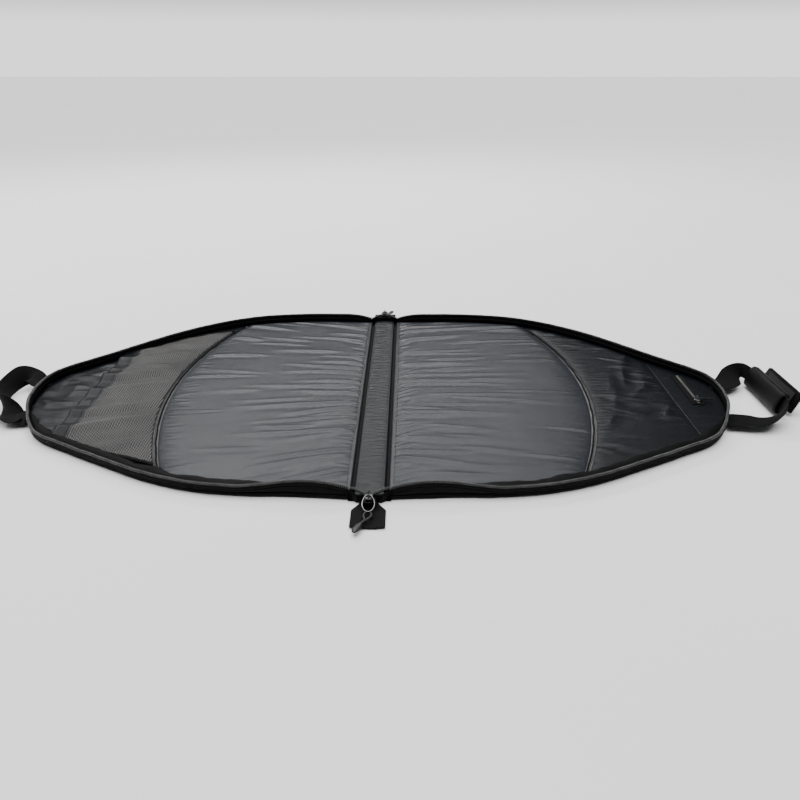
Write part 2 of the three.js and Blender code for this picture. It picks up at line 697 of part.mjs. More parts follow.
spine();
spineEnd(FRONT_END, "front");
spineEnd(BACK_END, "back");
for (const [side, name] of [[-1, "left"], [1, "right"]]) {
  halfLayers(side, name);
  halfRim(side, name);
  centrePad(side, name);
  arcPiping(side, name);
  handleRoot(ROOT_Y[0], side, `handle_root_${name}_front`);
  handleRoot(ROOT_Y[1], side, `handle_root_${name}_rear`);
}
leftEnd();
rightEnd();
zippedPocket();
leftHandle();
rightHandle();
gripSleeve();
gripFlap();

export default bag;
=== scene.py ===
"""Zip-around padded gear bag, lying open flat with its inside up.

Lengths are in millimetres until a mesh is made, and +Z is up. X runs from the left half to the
right half and Y along the spine from front to back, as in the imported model.
"""
import json
import math

import bmesh
import bpy
import numpy as np
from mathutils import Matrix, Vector


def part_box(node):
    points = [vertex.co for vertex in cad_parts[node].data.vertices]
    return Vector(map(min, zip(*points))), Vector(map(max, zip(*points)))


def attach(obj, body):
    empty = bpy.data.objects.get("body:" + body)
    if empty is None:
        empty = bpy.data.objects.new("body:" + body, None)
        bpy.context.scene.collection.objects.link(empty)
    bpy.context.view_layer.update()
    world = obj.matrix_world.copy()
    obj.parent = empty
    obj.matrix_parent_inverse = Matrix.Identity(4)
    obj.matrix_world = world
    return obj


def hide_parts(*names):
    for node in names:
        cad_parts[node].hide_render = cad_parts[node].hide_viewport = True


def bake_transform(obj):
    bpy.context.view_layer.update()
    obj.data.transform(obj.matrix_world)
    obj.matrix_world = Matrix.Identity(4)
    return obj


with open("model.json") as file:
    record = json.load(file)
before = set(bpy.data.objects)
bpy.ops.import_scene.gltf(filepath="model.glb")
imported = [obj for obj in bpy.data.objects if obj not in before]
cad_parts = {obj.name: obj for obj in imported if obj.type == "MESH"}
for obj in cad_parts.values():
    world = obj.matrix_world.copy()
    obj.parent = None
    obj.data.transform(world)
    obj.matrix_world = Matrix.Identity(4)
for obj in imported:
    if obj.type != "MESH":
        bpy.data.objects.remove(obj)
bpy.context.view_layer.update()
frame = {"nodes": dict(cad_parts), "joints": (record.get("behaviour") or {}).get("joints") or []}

MM = 0.001
SIDES = ((-1, "left"), (1, "right"))
ENDS = ((-1, "front"), (1, "back"))


# ---- Camera ----

def aim(obj, place, pitch, heading):
    """Point obj down by pitch and left of +Y by heading, both in degrees."""
    obj.location = place
    obj.rotation_euler = (math.radians(90 - pitch), 0, math.radians(heading))


camera = bpy.data.objects.new("view_camera", bpy.data.cameras.new("view_camera"))
camera.data.lens = 33.19
camera.data.sensor_width = 36
camera.data.clip_end = 50
bpy.context.collection.objects.link(camera)
aim(camera, (0.0423, -1.0056, 0.4637), 25.32, 0.604)
bpy.context.scene.camera = camera


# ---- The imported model's sizes ----

def box_mm(node):
    low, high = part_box(node)
    return np.array(low) / MM, np.array(high) / MM


SPINE_HALF = box_mm("spine_outer")[1][0]
SEAM_X = box_mm("shell_right")[0][0]
LINING_Z = box_mm("centre_pad_right")[0][2]
LINING_TOP = box_mm("end_panel_right")[1][2]
COIL_Z = box_mm("zip_coil_right")[1][2] - 1.9
SHELL_T = box_mm("shell_right")[1][2]

# Plan outline of the right half, from the spine's front end round the tip to its back end.
RIM_POINTS = np.array([
    (SEAM_X, -293.5), (92, -289), (150, -287.5), (210, -279), (270, -258), (330, -226),
    (390, -192), (445, -156), (484, -95), (499, -40), (499, 10), (484, 45), (440, 97),
    (345, 209), (250, 277), (150, 300), (SEAM_X, 300),
])
DIP, DIP_SHARE = 7, 0.035  # how far the zip sinks beside the spine, over what share of the rim
SLUMP, SLUMP_LEAN = 7.0, 3.0  # how far the front wall sags, and leans out, away from the spine
SLUMP_FROM, SLUMP_TO, SLUMP_RUN = 0.075, 0.40, 0.035  # shares of the rim
SEAM_OVERHANG = 1.9  # how far the linings bulge over the grooves beside the spine
TIP_X = 484  # x at which an end panel's long edges turn into its tip edge
ARC = (252, 56)  # the curved seam: its x at the rim, and how far it bows to the tip
HEM_X = (397, 419)  # the mesh pocket's hem
CROSS_X = 429  # the straight seam of the right half
WALL_INSET = 3.7  # where the lining starts, inwards of the outline


# ---- Curves ----

def catmull(points, count):
    """count points on a uniform Catmull-Rom curve through the points, evenly along its length."""
    p = np.asarray(points, float)
    p = np.vstack([2 * p[0] - p[1], p, 2 * p[-1] - p[-2]])
    t = np.linspace(0, 1, 40, endpoint=False)[:, None]
    runs = []
    for a, b, c, d in zip(p, p[1:], p[2:], p[3:]):
        runs.append(0.5 * (2 * b + (c - a) * t + (2 * a - 5 * b + 4 * c - d) * t**2
                           + (3 * b - a - 3 * c + d) * t**3))
    dense = np.vstack([*runs, p[-2]])
    return even(dense, count)


def even(points, count):
    """The same line through count points that are the same distance apart."""
    length = np.r_[0, np.cumsum(np.linalg.norm(np.diff(points, axis=0), axis=1))]
    places = np.linspace(0, length[-1], count)
    return np.stack([np.interp(places, length, column) for column in points.T], 1)


RIM = catmull(RIM_POINTS, 2501)
RIM_U = np.linspace(0, 1, len(RIM))
RIM_TANGENT = np.gradient(RIM, axis=0)
RIM_TANGENT /= np.linalg.norm(RIM_TANGENT, axis=1)[:, None]
RIM_LENGTH = np.linalg.norm(np.diff(RIM, axis=0), axis=1).sum()


def rim(u, inset, side):
    """Plan points of the outline at shares u of its length, moved inwards by inset."""
    x, y, tx, ty = (np.interp(u, RIM_U, c) for c in (*RIM.T, *RIM_TANGENT.T))
    return np.stack([side * (x - inset * ty), y + inset * tx], -1)


def share_at(x, back):
    half = RIM_U > 0.5 if back else RIM_U < 0.5
    return RIM_U[half][np.argmin(np.abs(RIM[half, 0] - x))]


def smoothstep(x, low, high):
    k = np.clip((x - low) / (high - low), 0, 1)
    return k * k * (3 - 2 * k)


def slump(u):
    """Share of the front wall's sag at shares u of the rim."""
    return (smoothstep(u, SLUMP_FROM - SLUMP_RUN, SLUMP_FROM + SLUMP_RUN)
            - smoothstep(u, SLUMP_TO - SLUMP_RUN, SLUMP_TO + SLUMP_RUN))


def lean(u):
    """How far the zip's line stands outwards of its own place at shares u of the rim."""
    return SLUMP_LEAN * slump(u)


def dip(u):
    near = np.minimum(u, 1 - np.asarray(u)) / DIP_SHARE
    return DIP * np.clip(1 - near, 0, 1) ** 2 + SLUMP * slump(u)


def wobble(x, wavelength, seed, terms=5):
    """Smooth random waviness, about -1 to 1."""
    draw = np.random.default_rng(seed)
    total = 0
    for _ in range(terms):
        pitch = wavelength * draw.uniform(0.55, 1.8)
        total = total + draw.uniform(0.4, 1) * np.sin(2 * np.pi * (x / pitch + draw.uniform()))
    return total / math.sqrt(terms)


# ---- Panels of the lining, as patches between two seams ----

def cross_seam(x, bow, inset, side):
    """A seam from the front rim to the back rim: its two shares and its plan."""
    front, back = share_at(x, False), share_at(x, True)
    a, b = rim(front, inset, side), rim(back, inset, side)

    def at(t):
        line = a + (b - a) * t[..., None]
        line[..., 0] += side * bow * 4 * t * (1 - t)
        return line

    return front, back, at


def spine_seam(inset, side):
    a, b = rim(0, inset, side), rim(1, inset, side)

    def at(t):
        line = a + (b - a) * t[..., None]
        line[..., 0] = side * SEAM_X
        return line

    return 0, 1, at


def tip_edge(inset, side):
    front, back = share_at(TIP_X, False), share_at(TIP_X, True)
    return front, back, lambda t: rim(front + (back - front) * t, inset, side)


def panel_plan(start, end, inset, side, s, t):
    """Plan points of a panel: s runs from the spine to the tip, t from front to back."""
    (f0, b0, at0), (f1, b1, at1) = start, end
    s, t = np.broadcast_arrays(s, t)
    front, back = rim(f0 + (f1 - f0) * s, inset, side), rim(b0 + (b1 - b0) * s, inset, side)
    zero, one = np.zeros_like(t), np.ones_like(t)
    s, t = s[..., None], t[..., None]
    edges = front * (1 - t) + back * t + at0(t[..., 0]) * (1 - s) + at1(t[..., 0]) * s
    corners = ((at0(zero) * (1 - s) + at1(zero) * s) * (1 - t)
               + (at0(one) * (1 - s) + at1(one) * s) * t)
    return edges - corners


def mesh_grid(columns, rows):
    return np.meshgrid(np.linspace(0, 1, columns), np.linspace(0, 1, rows), indexing="ij")


# ---- Meshes ----

def new_mesh(name, points, faces, mat, smooth=True, turn=True):
    """An object from points in millimetres and faces of any size."""
    data = bpy.data.meshes.new(name)
    data.from_pydata((np.asarray(points, float).reshape(-1, 3) * MM).tolist(), [], faces)
    if turn:
        work = bmesh.new()
        work.from_mesh(data)
        bmesh.ops.recalc_face_normals(work, faces=work.faces)
        work.to_mesh(data)
        work.free()
    data.polygons.foreach_set("use_smooth", [smooth] * len(data.polygons))
    data.materials.append(mat)
    obj = bpy.data.objects.new(name, data)
    bpy.context.collection.objects.link(obj)
    return obj


def sharpen(obj, degrees=35):
    """Keep edges that are sharper than this crisp."""
    limit = math.radians(degrees)
    work = bmesh.new()
    work.from_mesh(obj.data)
    for edge in work.edges:
        edge.smooth = not (len(edge.link_faces) == 2 and edge.calc_face_angle() > limit)
    work.to_mesh(obj.data)
    work.free()
    return obj


def loft_faces(rows, columns, offset=0, closed=False, caps=True):
    """Quads of a tube of rows sections; a closed one joins its last section to its first."""
    i, j = np.meshgrid(np.arange(rows if closed else rows - 1), np.arange(columns), indexing="ij")
    a, b = i * columns + j, i * columns + (j + 1) % columns
    c, d = ((i + 1) % rows) * columns + (j + 1) % columns, ((i + 1) % rows) * columns + j
    faces = (np.stack([a, b, c, d], -1).reshape(-1, 4) + offset).tolist()
    if caps and not closed:
        faces.append([offset + k for k in range(columns)][::-1])
        faces.append([offset + (rows - 1) * columns + k for k in range(columns)])
    return faces


def tubes(runs):
    """Points and faces of several lofts; a run is (sections, closed)."""
    points, faces, offset = [], [], 0
    for sections, closed in runs:
        rows, columns = sections.shape[:2]
        faces += loft_faces(rows, columns, offset, closed)
        points.append(sections.reshape(-1, 3))
        offset += rows * columns
    return np.vstack(points), faces


def frames(path, up=(0, 0, 1)):
    """Side and up directions along a path."""
    tangent = np.gradient(path, axis=0)
    tangent /= np.linalg.norm(tangent, axis=1)[:, None]
    side = np.cross(np.broadcast_to(up, path.shape), tangent)
    side /= np.maximum(np.linalg.norm(side, axis=1), 1e-9)[:, None]
    return side, np.cross(tangent, side)


def round_sections(path, radius, sides=8, up=(0, 0, 1), flat=1.0):
    """Rings round a path; flat squeezes them along the up direction."""
    side, over = frames(path, up)
    turn = np.linspace(0, 2 * np.pi, sides, endpoint=False)
    radius = np.broadcast_to(radius, len(path))[:, None, None]
    return path[:, None] + radius * (np.cos(turn)[None, :, None] * side[:, None]
                                     + flat * np.sin(turn)[None, :, None] * over[:, None])


def slab(name, top, low, mat):
    """A closed piece under a grid of top points, down to low, which is a height or a grid."""
    n, m = top.shape[:2]
    edge = ([(i, 0) for i in range(n)] + [(n - 1, j) for j in range(1, m)]
            + [(i, m - 1) for i in range(n - 2, -1, -1)] + [(0, j) for j in range(m - 2, 0, -1)])
    rows, columns = np.array(edge).T
    index = rows * m + columns
    i, j = np.meshgrid(np.arange(n - 1), np.arange(m - 1), indexing="ij")
    a = i * m + j
    faces = np.stack([a, a + m, a + m + 1, a + 1], -1).reshape(-1, 4).tolist()
    if np.ndim(low) > 1:
        under = top.copy()
        under[..., 2] = low
        faces += (np.stack([a, a + 1, a + m + 1, a + m], -1).reshape(-1, 4) + n * m).tolist()
        below = index + n * m
    else:
        under = top[rows, columns].copy()
        under[:, 2] = low
        below = n * m + np.arange(len(edge))
        k = {e: n * m + p for p, e in enumerate(edge)}
        faces.append([k[0, j] for j in range(m)] + [k[1, m - 1], k[1, 0]])
        faces += [[k[i, 0], k[i, m - 1], k[i + 1, m - 1], k[i + 1, 0]] for i in range(1, n - 2)]
        faces.append([k[n - 1, j] for j in range(m - 1, -1, -1)] + [k[n - 2, 0], k[n - 2, m - 1]])
    after = np.roll(np.arange(len(edge)), -1)
    faces += np.stack([index, below, below[after], index[after]], -1).tolist()
    return new_mesh(name, np.vstack([top.reshape(-1, 3), under.reshape(-1, 3)]), faces, mat)


def settle(obj, body, slot, *nodes):
    """Tie a piece to its body and hide the nodes that it stands for; the slot is not used."""
    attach(obj, body)
    if nodes:
        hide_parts(*nodes)
    return obj


# ---- Materials ----

def shader(name, roughness, **constants):
    mat = bpy.data.materials.new(name)
    mat.use_nodes = True
    principled = mat.node_tree.nodes["Principled BSDF"]
    principled.inputs["Roughness"].default_value = roughness
    for key, value in constants.items():
        principled.inputs[key.replace("_", " ")].default_value = value
    return mat, mat.node_tree, principled


def node(tree, kind, inputs=(), **settings):
    made = tree.nodes.new(kind)
    for key, value in settings.items():
        setattr(made, key, value)
    for key, value in dict(inputs).items():
        if isinstance(value, bpy.types.NodeSocket):
            tree.links.new(value, made.inputs[key])
        else:
            made.inputs[key].default_value = value
    return made


def coordinates(tree, turn=0.0):
    place = node(tree, "ShaderNodeTexCoord").outputs["Object"]
    if not turn:
        return place
    mapping = node(tree, "ShaderNodeMapping", {"Vector": place, "Rotation": (0, 0, turn)})
    return mapping.outputs["Vector"]


def noise(tree, place, scale, detail=3.0, rough=0.5):
    inputs = {"Vector": place, "Scale": scale, "Detail": detail, "Roughness": rough}
    return node(tree, "ShaderNodeTexNoise", inputs).outputs["Fac"]


def threads(tree, place, pitch_mm, direction):
    """Stripes across a direction, one for each thread."""
    settings = {"wave_type": "BANDS", "bands_direction": direction}
    scale = 2 * math.pi / 20 / (pitch_mm * MM)
    return node(tree, "ShaderNodeTexWave", {"Vector": place, "Scale": scale,
                                            "Distortion": 0.3, "Detail": 1.0}, **settings).outputs["Fac"]


def maths(tree, operation, a, b):
    return node(tree, "ShaderNodeMath", {0: a, 1: b}, operation=operation).outputs[0]


def ramp(tree, factor, *stops):
    made = node(tree, "ShaderNodeValToRGB", {"Fac": factor})
    elements = made.color_ramp.elements
    while len(elements) < len(stops):
        elements.new(0.5)
    for element, (place, color) in zip(elements, stops):
        element.position = place
        element.color = (*color, 1)
    return made.outputs["Color"]


def bumped(tree, principled, height, distance_mm, strength=1.0):
    made = node(tree, "ShaderNodeBump", {"Height": height, "Distance": distance_mm * MM,
                                         "Strength": strength})
    tree.links.new(made.outputs["Normal"], principled.inputs["Normal"])


def spread(tree, principled, factor, low, high):
    """Roughness that varies between two values."""
    made = node(tree, "ShaderNodeMapRange", {"Value": factor, "To Min": low, "To Max": high})
    tree.links.new(made.outputs["Result"], principled.inputs["Roughness"])


def woven(name, dark, light, rough, pitch, sheen, depth=0.05, turn=0.0, axes="XY", patch=9.0,
          gloss=0.3):
    """Cloth with threads both ways, uneven colour and a rougher, paler bloom where it is worn."""
    mat, tree, principled = shader(name, rough[0], Sheen_Weight=sheen, Sheen_Roughness=0.45,
                                   Specular_IOR_Level=gloss)
    place = coordinates(tree, turn)
    weave = maths(tree, "MULTIPLY", *(threads(tree, place, pitch, d) for d in axes))
    broad = noise(tree, place, patch, 4.0, 0.55)
    fine = noise(tree, place, 260.0, 2.0)
    tone = maths(tree, "ADD", maths(tree, "MULTIPLY", broad, 0.7),
                 maths(tree, "MULTIPLY", weave, 0.3))
    tree.links.new(ramp(tree, tone, (0.25, dark), (0.75, light)), principled.inputs["Base Color"])
    spread(tree, principled, broad, *rough)
    height = maths(tree, "ADD", weave, maths(tree, "MULTIPLY", fine, 0.6))
    bumped(tree, principled, height, depth)
    return mat


def ribbed(name, dark, light, rough, pitch, depth, direction="Y", sheen=0.02, turn=0.0):
    """Webbing and tape: ribs across the length, thin yarns along it, fuzz and pale wear."""
    mat, tree, principled = shader(name, rough[0], Sheen_Weight=sheen, Sheen_Roughness=0.5,
                                   Specular_IOR_Level=0.09)
    place = coordinates(tree, turn)
    ribs = threads(tree, place, pitch, direction)
    yarns = threads(tree, place, pitch * 0.6, "X" if direction == "Y" else "Y")
    fuzz = noise(tree, place, 420.0, 3.0)
    wear = noise(tree, place, 24.0, 4.0, 0.6)
    pattern = maths(tree, "ADD", maths(tree, "MULTIPLY", ribs, 0.7),
                    maths(tree, "MULTIPLY", yarns, 0.3))
    tone = maths(tree, "MULTIPLY", maths(tree, "ADD", pattern, wear), 0.5)
    tree.links.new(ramp(tree, tone, (0.2, dark), (0.8, light)), principled.inputs["Base Color"])
    spread(tree, principled, fuzz, *rough)
    bumped(tree, principled, maths(tree, "ADD", pattern, maths(tree, "MULTIPLY", fuzz, 0.4)), depth)
    return mat


def smooth_hard(name, dark, light, rough, metallic=0.0, grain=900.0, depth=0.02, coat=0.0):
    """Plated metal or moulded plastic, with fine grain, smears and small scratches."""
    mat, tree, principled = shader(name, rough[0], Metallic=metallic, Coat_Weight=coat,
                                   Coat_Roughness=0.15)
    place = coordinates(tree)
    smear = noise(tree, place, 90.0, 4.0, 0.6)
    fine = noise(tree, place, grain, 2.0)
    tree.links.new(ramp(tree, smear, (0.3, dark), (0.7, light)), principled.inputs["Base Color"])
    spread(tree, principled, smear, *rough)
    bumped(tree, principled, fine, depth)
    return mat


def grey(value, cool=0.0):
    """A linear grey, a little blue where cool is above zero and olive where it is below."""
    return (value * (1 - cool), value * (1 - max(cool, 0) * 0.25), value * (1 + cool))


PAD_CLOTH = woven("pad_satin", grey(0.015, 0.20), grey(0.023, 0.16), (0.30, 0.38), 0.5, 0.0,
                  gloss=0.42)
SPINE_CLOTH = woven("spine_satin", grey(0.007, 0.16), grey(0.012, 0.14), (0.34, 0.44), 0.5, 0.0,
                    gloss=0.26)
END_CLOTH = woven("end_taffeta", grey(0.0025, 0.35), grey(0.007, 0.30), (0.26, 0.36), 0.45, 0.0,
                  patch=16.0, gloss=0.24)
SHELL_CLOTH = woven("shell_cordura", grey(0.002), grey(0.005), (0.62, 0.80), 0.9, 0.0, 0.12,
                    gloss=0.12)
FACING_CLOTH = woven("facing_cloth", grey(0.0012), grey(0.0035), (0.40, 0.58), 0.6, 0.0, 0.06,
                     gloss=0.07)
BINDING = ribbed("binding_tape", grey(0.0008), grey(0.003, -0.08), (0.6, 0.85), 1.2, 0.12)
TAPE = ribbed("zip_tape", grey(0.0008), grey(0.003, -0.1), (0.55, 0.8), 0.8, 0.08)
WEBBING = ribbed("webbing", grey(0.0008), grey(0.0028), (0.6, 0.85), 1.6, 0.22, "Y")
TAB_WEBBING = ribbed("tab_webbing", grey(0.0015), grey(0.006, 0.05), (0.55, 0.8), 1.5, 0.22, "Y")
NET = woven("pocket_net", grey(0.07, -0.02), grey(0.20, -0.03), (0.24, 0.36), 0.4, 0.0, 0.04,
            gloss=0.5)
THREAD = ribbed("sewing_thread", grey(0.004), grey(0.015), (0.45, 0.7), 0.3, 0.03)
# Painted highlight: the coil's grey base colour is set far paler than the black tape round it so that
# its teeth read as glints.
COIL_NYLON_PAINTED_GLINT = smooth_hard("coil_nylon_painted_glint", grey(0.06), grey(0.13), (0.16, 0.26), coat=0.25)
METAL = smooth_hard("slider_metal", grey(0.10), grey(0.30), (0.16, 0.34), 1.0)
BLACK_METAL = smooth_hard("slider_black", grey(0.02), grey(0.07), (0.22, 0.4), 0.9)
MOULDED = smooth_hard("moulded_pull", grey(0.004, -0.1), grey(0.011, -0.15), (0.35, 0.55), grain=700)
NEOPRENE = woven("grip_neoprene", grey(0.0008), grey(0.002, 0.1), (0.34, 0.52), 0.7, 0.0, 0.08,
                 axes="YZ", gloss=0.14)
HOOKS = smooth_hard("hook_and_loop", grey(0.004), grey(0.012), (0.6, 0.9), grain=2400, depth=0.5)
FOAM = smooth_hard("foam", grey(0.10), grey(0.16), (0.8, 0.95), grain=1500, depth=0.4)

for name, mat in {
    "foam_left": FOAM, "foam_right": FOAM, "spine_foam": FOAM, "spine_outer": SHELL_CLOTH,
    "grip_hook_strip": HOOKS, "grip_loop_strip": HOOKS,
}.items():
    data = frame["nodes"][name].data
    data.materials.clear()
    data.materials.append(mat)


# ---- Creases of the cloth ----

def creases(x, y, rows):
    """Heights of soft ridges: (x, y, degrees, length, width, height, bend, share to rise in)."""
    total = np.zeros_like(x)
    for cx, cy, degrees, length, width, height, bend, rise in rows:
        c, s = math.cos(math.radians(degrees)), math.sin(math.radians(degrees))
        along = ((x - cx) * c + (y - cy) * s) / length
        live = (along > 0) & (along < 1)
        a = along[live]
        across = (-(x - cx) * s + (y - cy) * c)[live] - bend * a * a
        fade = smoothstep(a, 0, rise) * (1 - a) ** 0.8
        spread_out = width * (1 + 0.7 * a)
        ridge = np.exp(-np.abs(across / spread_out) ** 1.5)
        hollow = np.exp(-((across + 2 * spread_out) / (1.6 * spread_out)) ** 2)
        total[live] += height * fade * (ridge - 0.5 * hollow)
    return total


def long_creases(draw, side, y_low, y_high):
    """Tension lines that fan out from the spine's seam towards the curved seam."""
    rows = []
    for y in np.arange(y_low, y_high, 12.5):
        y = y + draw.uniform(-6, 6)
        fan = math.degrees(math.atan((y - 20) / 700)) * (1 if side < 0 else 0.5)
        from_seam = draw.uniform() < 0.5
        start = 24 if from_seam else draw.uniform(50, 210)
        drift = (start - 24) * math.tan(math.radians(fan))
        rows.append((start, y + drift, fan + draw.uniform(-4.5, 4.5), draw.uniform(70, 210),
                     draw.uniform(1.8, 4.2), draw.uniform(1.1, 3.0), draw.uniform(-12, 12),
                     0.12 if from_seam else 0.45))
    return rows


def short_creases(draw, places, pitch, turn, length, width, height):
    """Puckers along a seam. places gives the seam's (x, y, degrees) at a distance along it."""
    rows, at = [], 0.0
    while at < 1:
        x, y, degrees = places(at)
        rows.append((x, y, degrees + draw.normal(turn, 9), draw.uniform(*length),
                     draw.uniform(*width), draw.uniform(*height), draw.uniform(-5, 5), 0.07))
        at += pitch * draw.uniform(0.6, 1.4)
    return rows


def crumples(draw, count, x_range, y_range, length, width, height, lie=0, stray=35):
    """Scattered creases that lie within stray degrees of one direction."""
    return [(draw.uniform(*x_range), draw.uniform(*y_range), lie + draw.uniform(-stray, stray),
             draw.uniform(*length), draw.uniform(*width), draw.uniform(*height),
             draw.uniform(-14, 14), 0.4) for _ in range(count)]


def stitches(name, path, normal, body, slot="binding_tape", pitch=4.2, mat=THREAD):
    """A row of thread dashes along a path, each sunk in the cloth at its two ends."""
    count = max(2, int(np.linalg.norm(np.diff(path, axis=0), axis=1).sum() / pitch))
    dense = even(path, count * 6 + 1)
    runs = []
    for k in range(count):
        part = dense[k * 6:k * 6 + 5]
        arch = part + np.array(normal) * (0.28 * np.array([-1, 0.6, 1, 0.6, -1]))[:, None]
        runs.append((round_sections(arch, 0.32, 5), False))
    return settle(new_mesh(name, *tubes(runs), mat, turn=False), body, slot)


# ---- Linings ----

def arc_place():
    """Places along the curved seam, for the creases that start at it."""
    _, _, at = cross_seam(*ARC, WALL_INSET, 1)
    line = at(np.linspace(0.03, 0.97, 200))

    def place(share):
        x, y = line[int(share * 199)]
        return x - 4, y, 180

    return place


def centre_pad(side, name):
    """The padded middle of a half: crowned, pulled in along its seams and creased by tension."""
    draw = np.random.default_rng(11 if side < 0 else 23)
    s, t = mesh_grid(150, 390)
    x_arc = ARC[0] - 3.7
    plan = panel_plan(spine_seam(WALL_INSET, 1), cross_seam(x_arc, ARC[1], WALL_INSET, 1),
                      WALL_INSET, 1, s, t)
    x, y = plan[..., 0], plan[..., 1]
    x = x - SEAM_OVERHANG * np.clip(1 - s * 14, 0, 1)
    rows = long_creases(draw, side, -285, 292)
    rows += short_creases(draw, lambda a: (25.5, -288 + 576 * a, 0), 0.0105 if side > 0 else 0.013,
                          24 if side > 0 else 2, (16, 48) if side > 0 else (12, 30),
                          (1.3, 2.4), (0.7, 1.6))
    rows += short_creases(draw, arc_place(), 0.017, 0, (18, 48), (1.4, 2.6), (0.4, 1.2))
    near_spine, near_arc = x - SEAM_X, (1 - s) * (x_arc - SEAM_X)
    near_rim = np.minimum(t, 1 - t) * 590
    edge = np.minimum(np.minimum(near_spine, near_arc), near_rim)
    puff = 1 - np.exp(-edge / 8)
    crown = 2.6 * (1 - np.exp(-near_spine / 26)) * (1 - np.exp(-np.minimum(near_arc, near_rim) / 18))
    broad = 0.5 * wobble(y, 110, 5 + side) + 0.35 * wobble(x + 0.4 * y, 90, 9 + side)
    relief = (creases(x, y, rows) + broad * 0.6) * (0.15 + 0.85 * puff)
    z = LINING_TOP - 0.9 + 2.0 * puff + crown + relief
    z += 0.07 * wobble(y * 3 + x, 7, 31)
    z = np.maximum(z, LINING_Z + 0.5)
    top = np.dstack([side * x, y, z])
    pad = slab(f"pad_{name}", top, LINING_Z, PAD_CLOTH)
    settle(pad, f"{name}_half", "pad_lining", f"centre_pad_{name}")
    seam = np.column_stack([side * x[3], y[3], z[3]])[8:-8]
    stitches(f"pad_stitches_{name}", seam, (0, 0, 1), f"{name}_half", "pad_lining")


def piping(side, name):
    """The covered cord along the curved seam, slightly uneven where it was sewn."""
    _, _, at = cross_seam(*ARC, WALL_INSET + 1, side)
    t = np.linspace(0, 1, 260)
    line = at(t)
    line[:, 0] += 0.5 * wobble(t * 600, 40, 41 + side)
    path = np.column_stack([line, LINING_TOP + 0.35 + 0.25 * wobble(t * 600, 26, 43)])
    points, faces = tubes([(round_sections(path, 1.15 + 0.12 * wobble(t * 600, 9, 45), 8), False)])
    cord = new_mesh(f"seam_piping_{name}", points, faces, FACING_CLOTH)
    settle(cord, f"{name}_half", "binding_tape", f"arc_piping_{name}")
    offset = path + np.array([side * 2.6, 0, -0.35])
    stitches(f"seam_stitches_{name}", offset, (0, 0, 1), f"{name}_half")


def taffeta_panel(name, start, end, side, columns, rows, creasing, body, slot, node_name,
                  rise=1.2, thick=1.1, mat=END_CLOTH):
    """A thin lining panel with its creases, sewn down on all sides."""
    s, t = mesh_grid(columns, rows)
    plan = panel_plan(start, end, WALL_INSET, 1, s, t)
    x, y = plan[..., 0], plan[..., 1]
    width = np.linalg.norm(plan[-1, rows // 2] - plan[0, rows // 2])
    length = np.linalg.norm(plan[columns // 2, -1] - plan[columns // 2, 0])
    edge = np.minimum(np.minimum(s, 1 - s) * width, np.minimum(t, 1 - t) * length)
    puff = 1 - np.exp(-edge / 6)
    z = LINING_TOP - 0.3 + rise * puff + creases(x, y, creasing) * (0.2 + 0.8 * puff)
    z = np.maximum(z, LINING_Z + thick + 0.1)
    top = np.dstack([side * x, y, z])
    low = top[..., 2] - thick
    panel = slab(name, top, low, mat)
    settle(panel, body, slot, *([node_name] if node_name else []))
    return top


def straight(x, side=1):
    return cross_seam(x, 0, WALL_INSET, side)


def curved(shift):
    return cross_seam(ARC[0] + shift, ARC[1], WALL_INSET, 1)


def seam_puckers(draw, x, y_range, pitch, length, height=(0.4, 1.0), away=True):
    span = y_range[1] - y_range[0]
    return short_creases(draw, lambda a: (x, y_range[0] + a * span, 0 if away else 180),
                         pitch / span, 0, length, (1.3, 2.6), height)


def linings():
    for side, name in SIDES:
        centre_pad(side, name)
        piping(side, name)

    draw = np.random.default_rng(3)
    rows = crumples(draw, 40, (300, 420), (-210, 240), (30, 90), (2.5, 6), (0.3, 1.0))
    taffeta_panel("lining_under_net", curved(3.7), straight(HEM_X[1]), -1, 60, 150, rows,
                  "left_half", "end_lining", "pocket_lining_left", rise=0.3, thick=0.9)

    rows = crumples(draw, 20, (415, 470), (-170, 110), (35, 80), (3.5, 7), (0.8, 2.0), 12, 24)
    rows += crumples(draw, 8, (425, 480), (-150, 60), (40, 90), (4, 8), (0.8, 2.0), 78, 14)
    rows += seam_puckers(draw, 421, (-165, 120), 9, (14, 40))
    taffeta_panel("end_lining_left", straight(HEM_X[1] + 0.6), tip_edge(WALL_INSET, 1), -1,
                  60, 190, rows, "left_half", "end_lining", "end_panel_left", rise=1.8)

    rows = crumples(draw, 34, (260, 390), (-230, 260), (40, 110), (2.2, 5), (0.7, 2.0), -6, 20)
    rows += crumples(draw, 9, (300, 400), (-150, 120), (60, 150), (4, 7), (0.9, 2.0), 70, 14)
    rows += [(x + 5, y, 0, *rest) for x, y, _, *rest in
             short_creases(draw, arc_place(), 0.016, 0, (18, 55), (1.4, 2.8), (0.4, 1.2))]
    rows += seam_puckers(draw, 427, (-165, 165), 10, (14, 46), away=False)
    top = taffeta_panel("plain_lining_right", curved(3.7), straight(CROSS_X - 0.4), 1,
                               100, 280, rows, "right_half", "end_lining", "pocket_panel_right",
                               rise=1.7)
    stitches("cross_stitches_right", top[-3, 6:-6], (0, 0, 1), "right_half", "end_lining")

    rows = crumples(draw, 30, (430, 500), (-170, 120), (18, 50), (1.8, 4), (0.3, 0.9), 10, 30)
    rows += seam_puckers(draw, 430, (-160, 150), 9, (12, 34))
    rows = [r for r in rows if not (448 < r[0] < 480 and -70 < r[1] < 66)]
    taffeta_panel("end_lining_right", straight(CROSS_X + 0.4), tip_edge(WALL_INSET, 1), 1,
                  60, 200, rows, "right_half", "end_lining", "end_panel_right", rise=0.25)


# ---- The mesh pocket ----

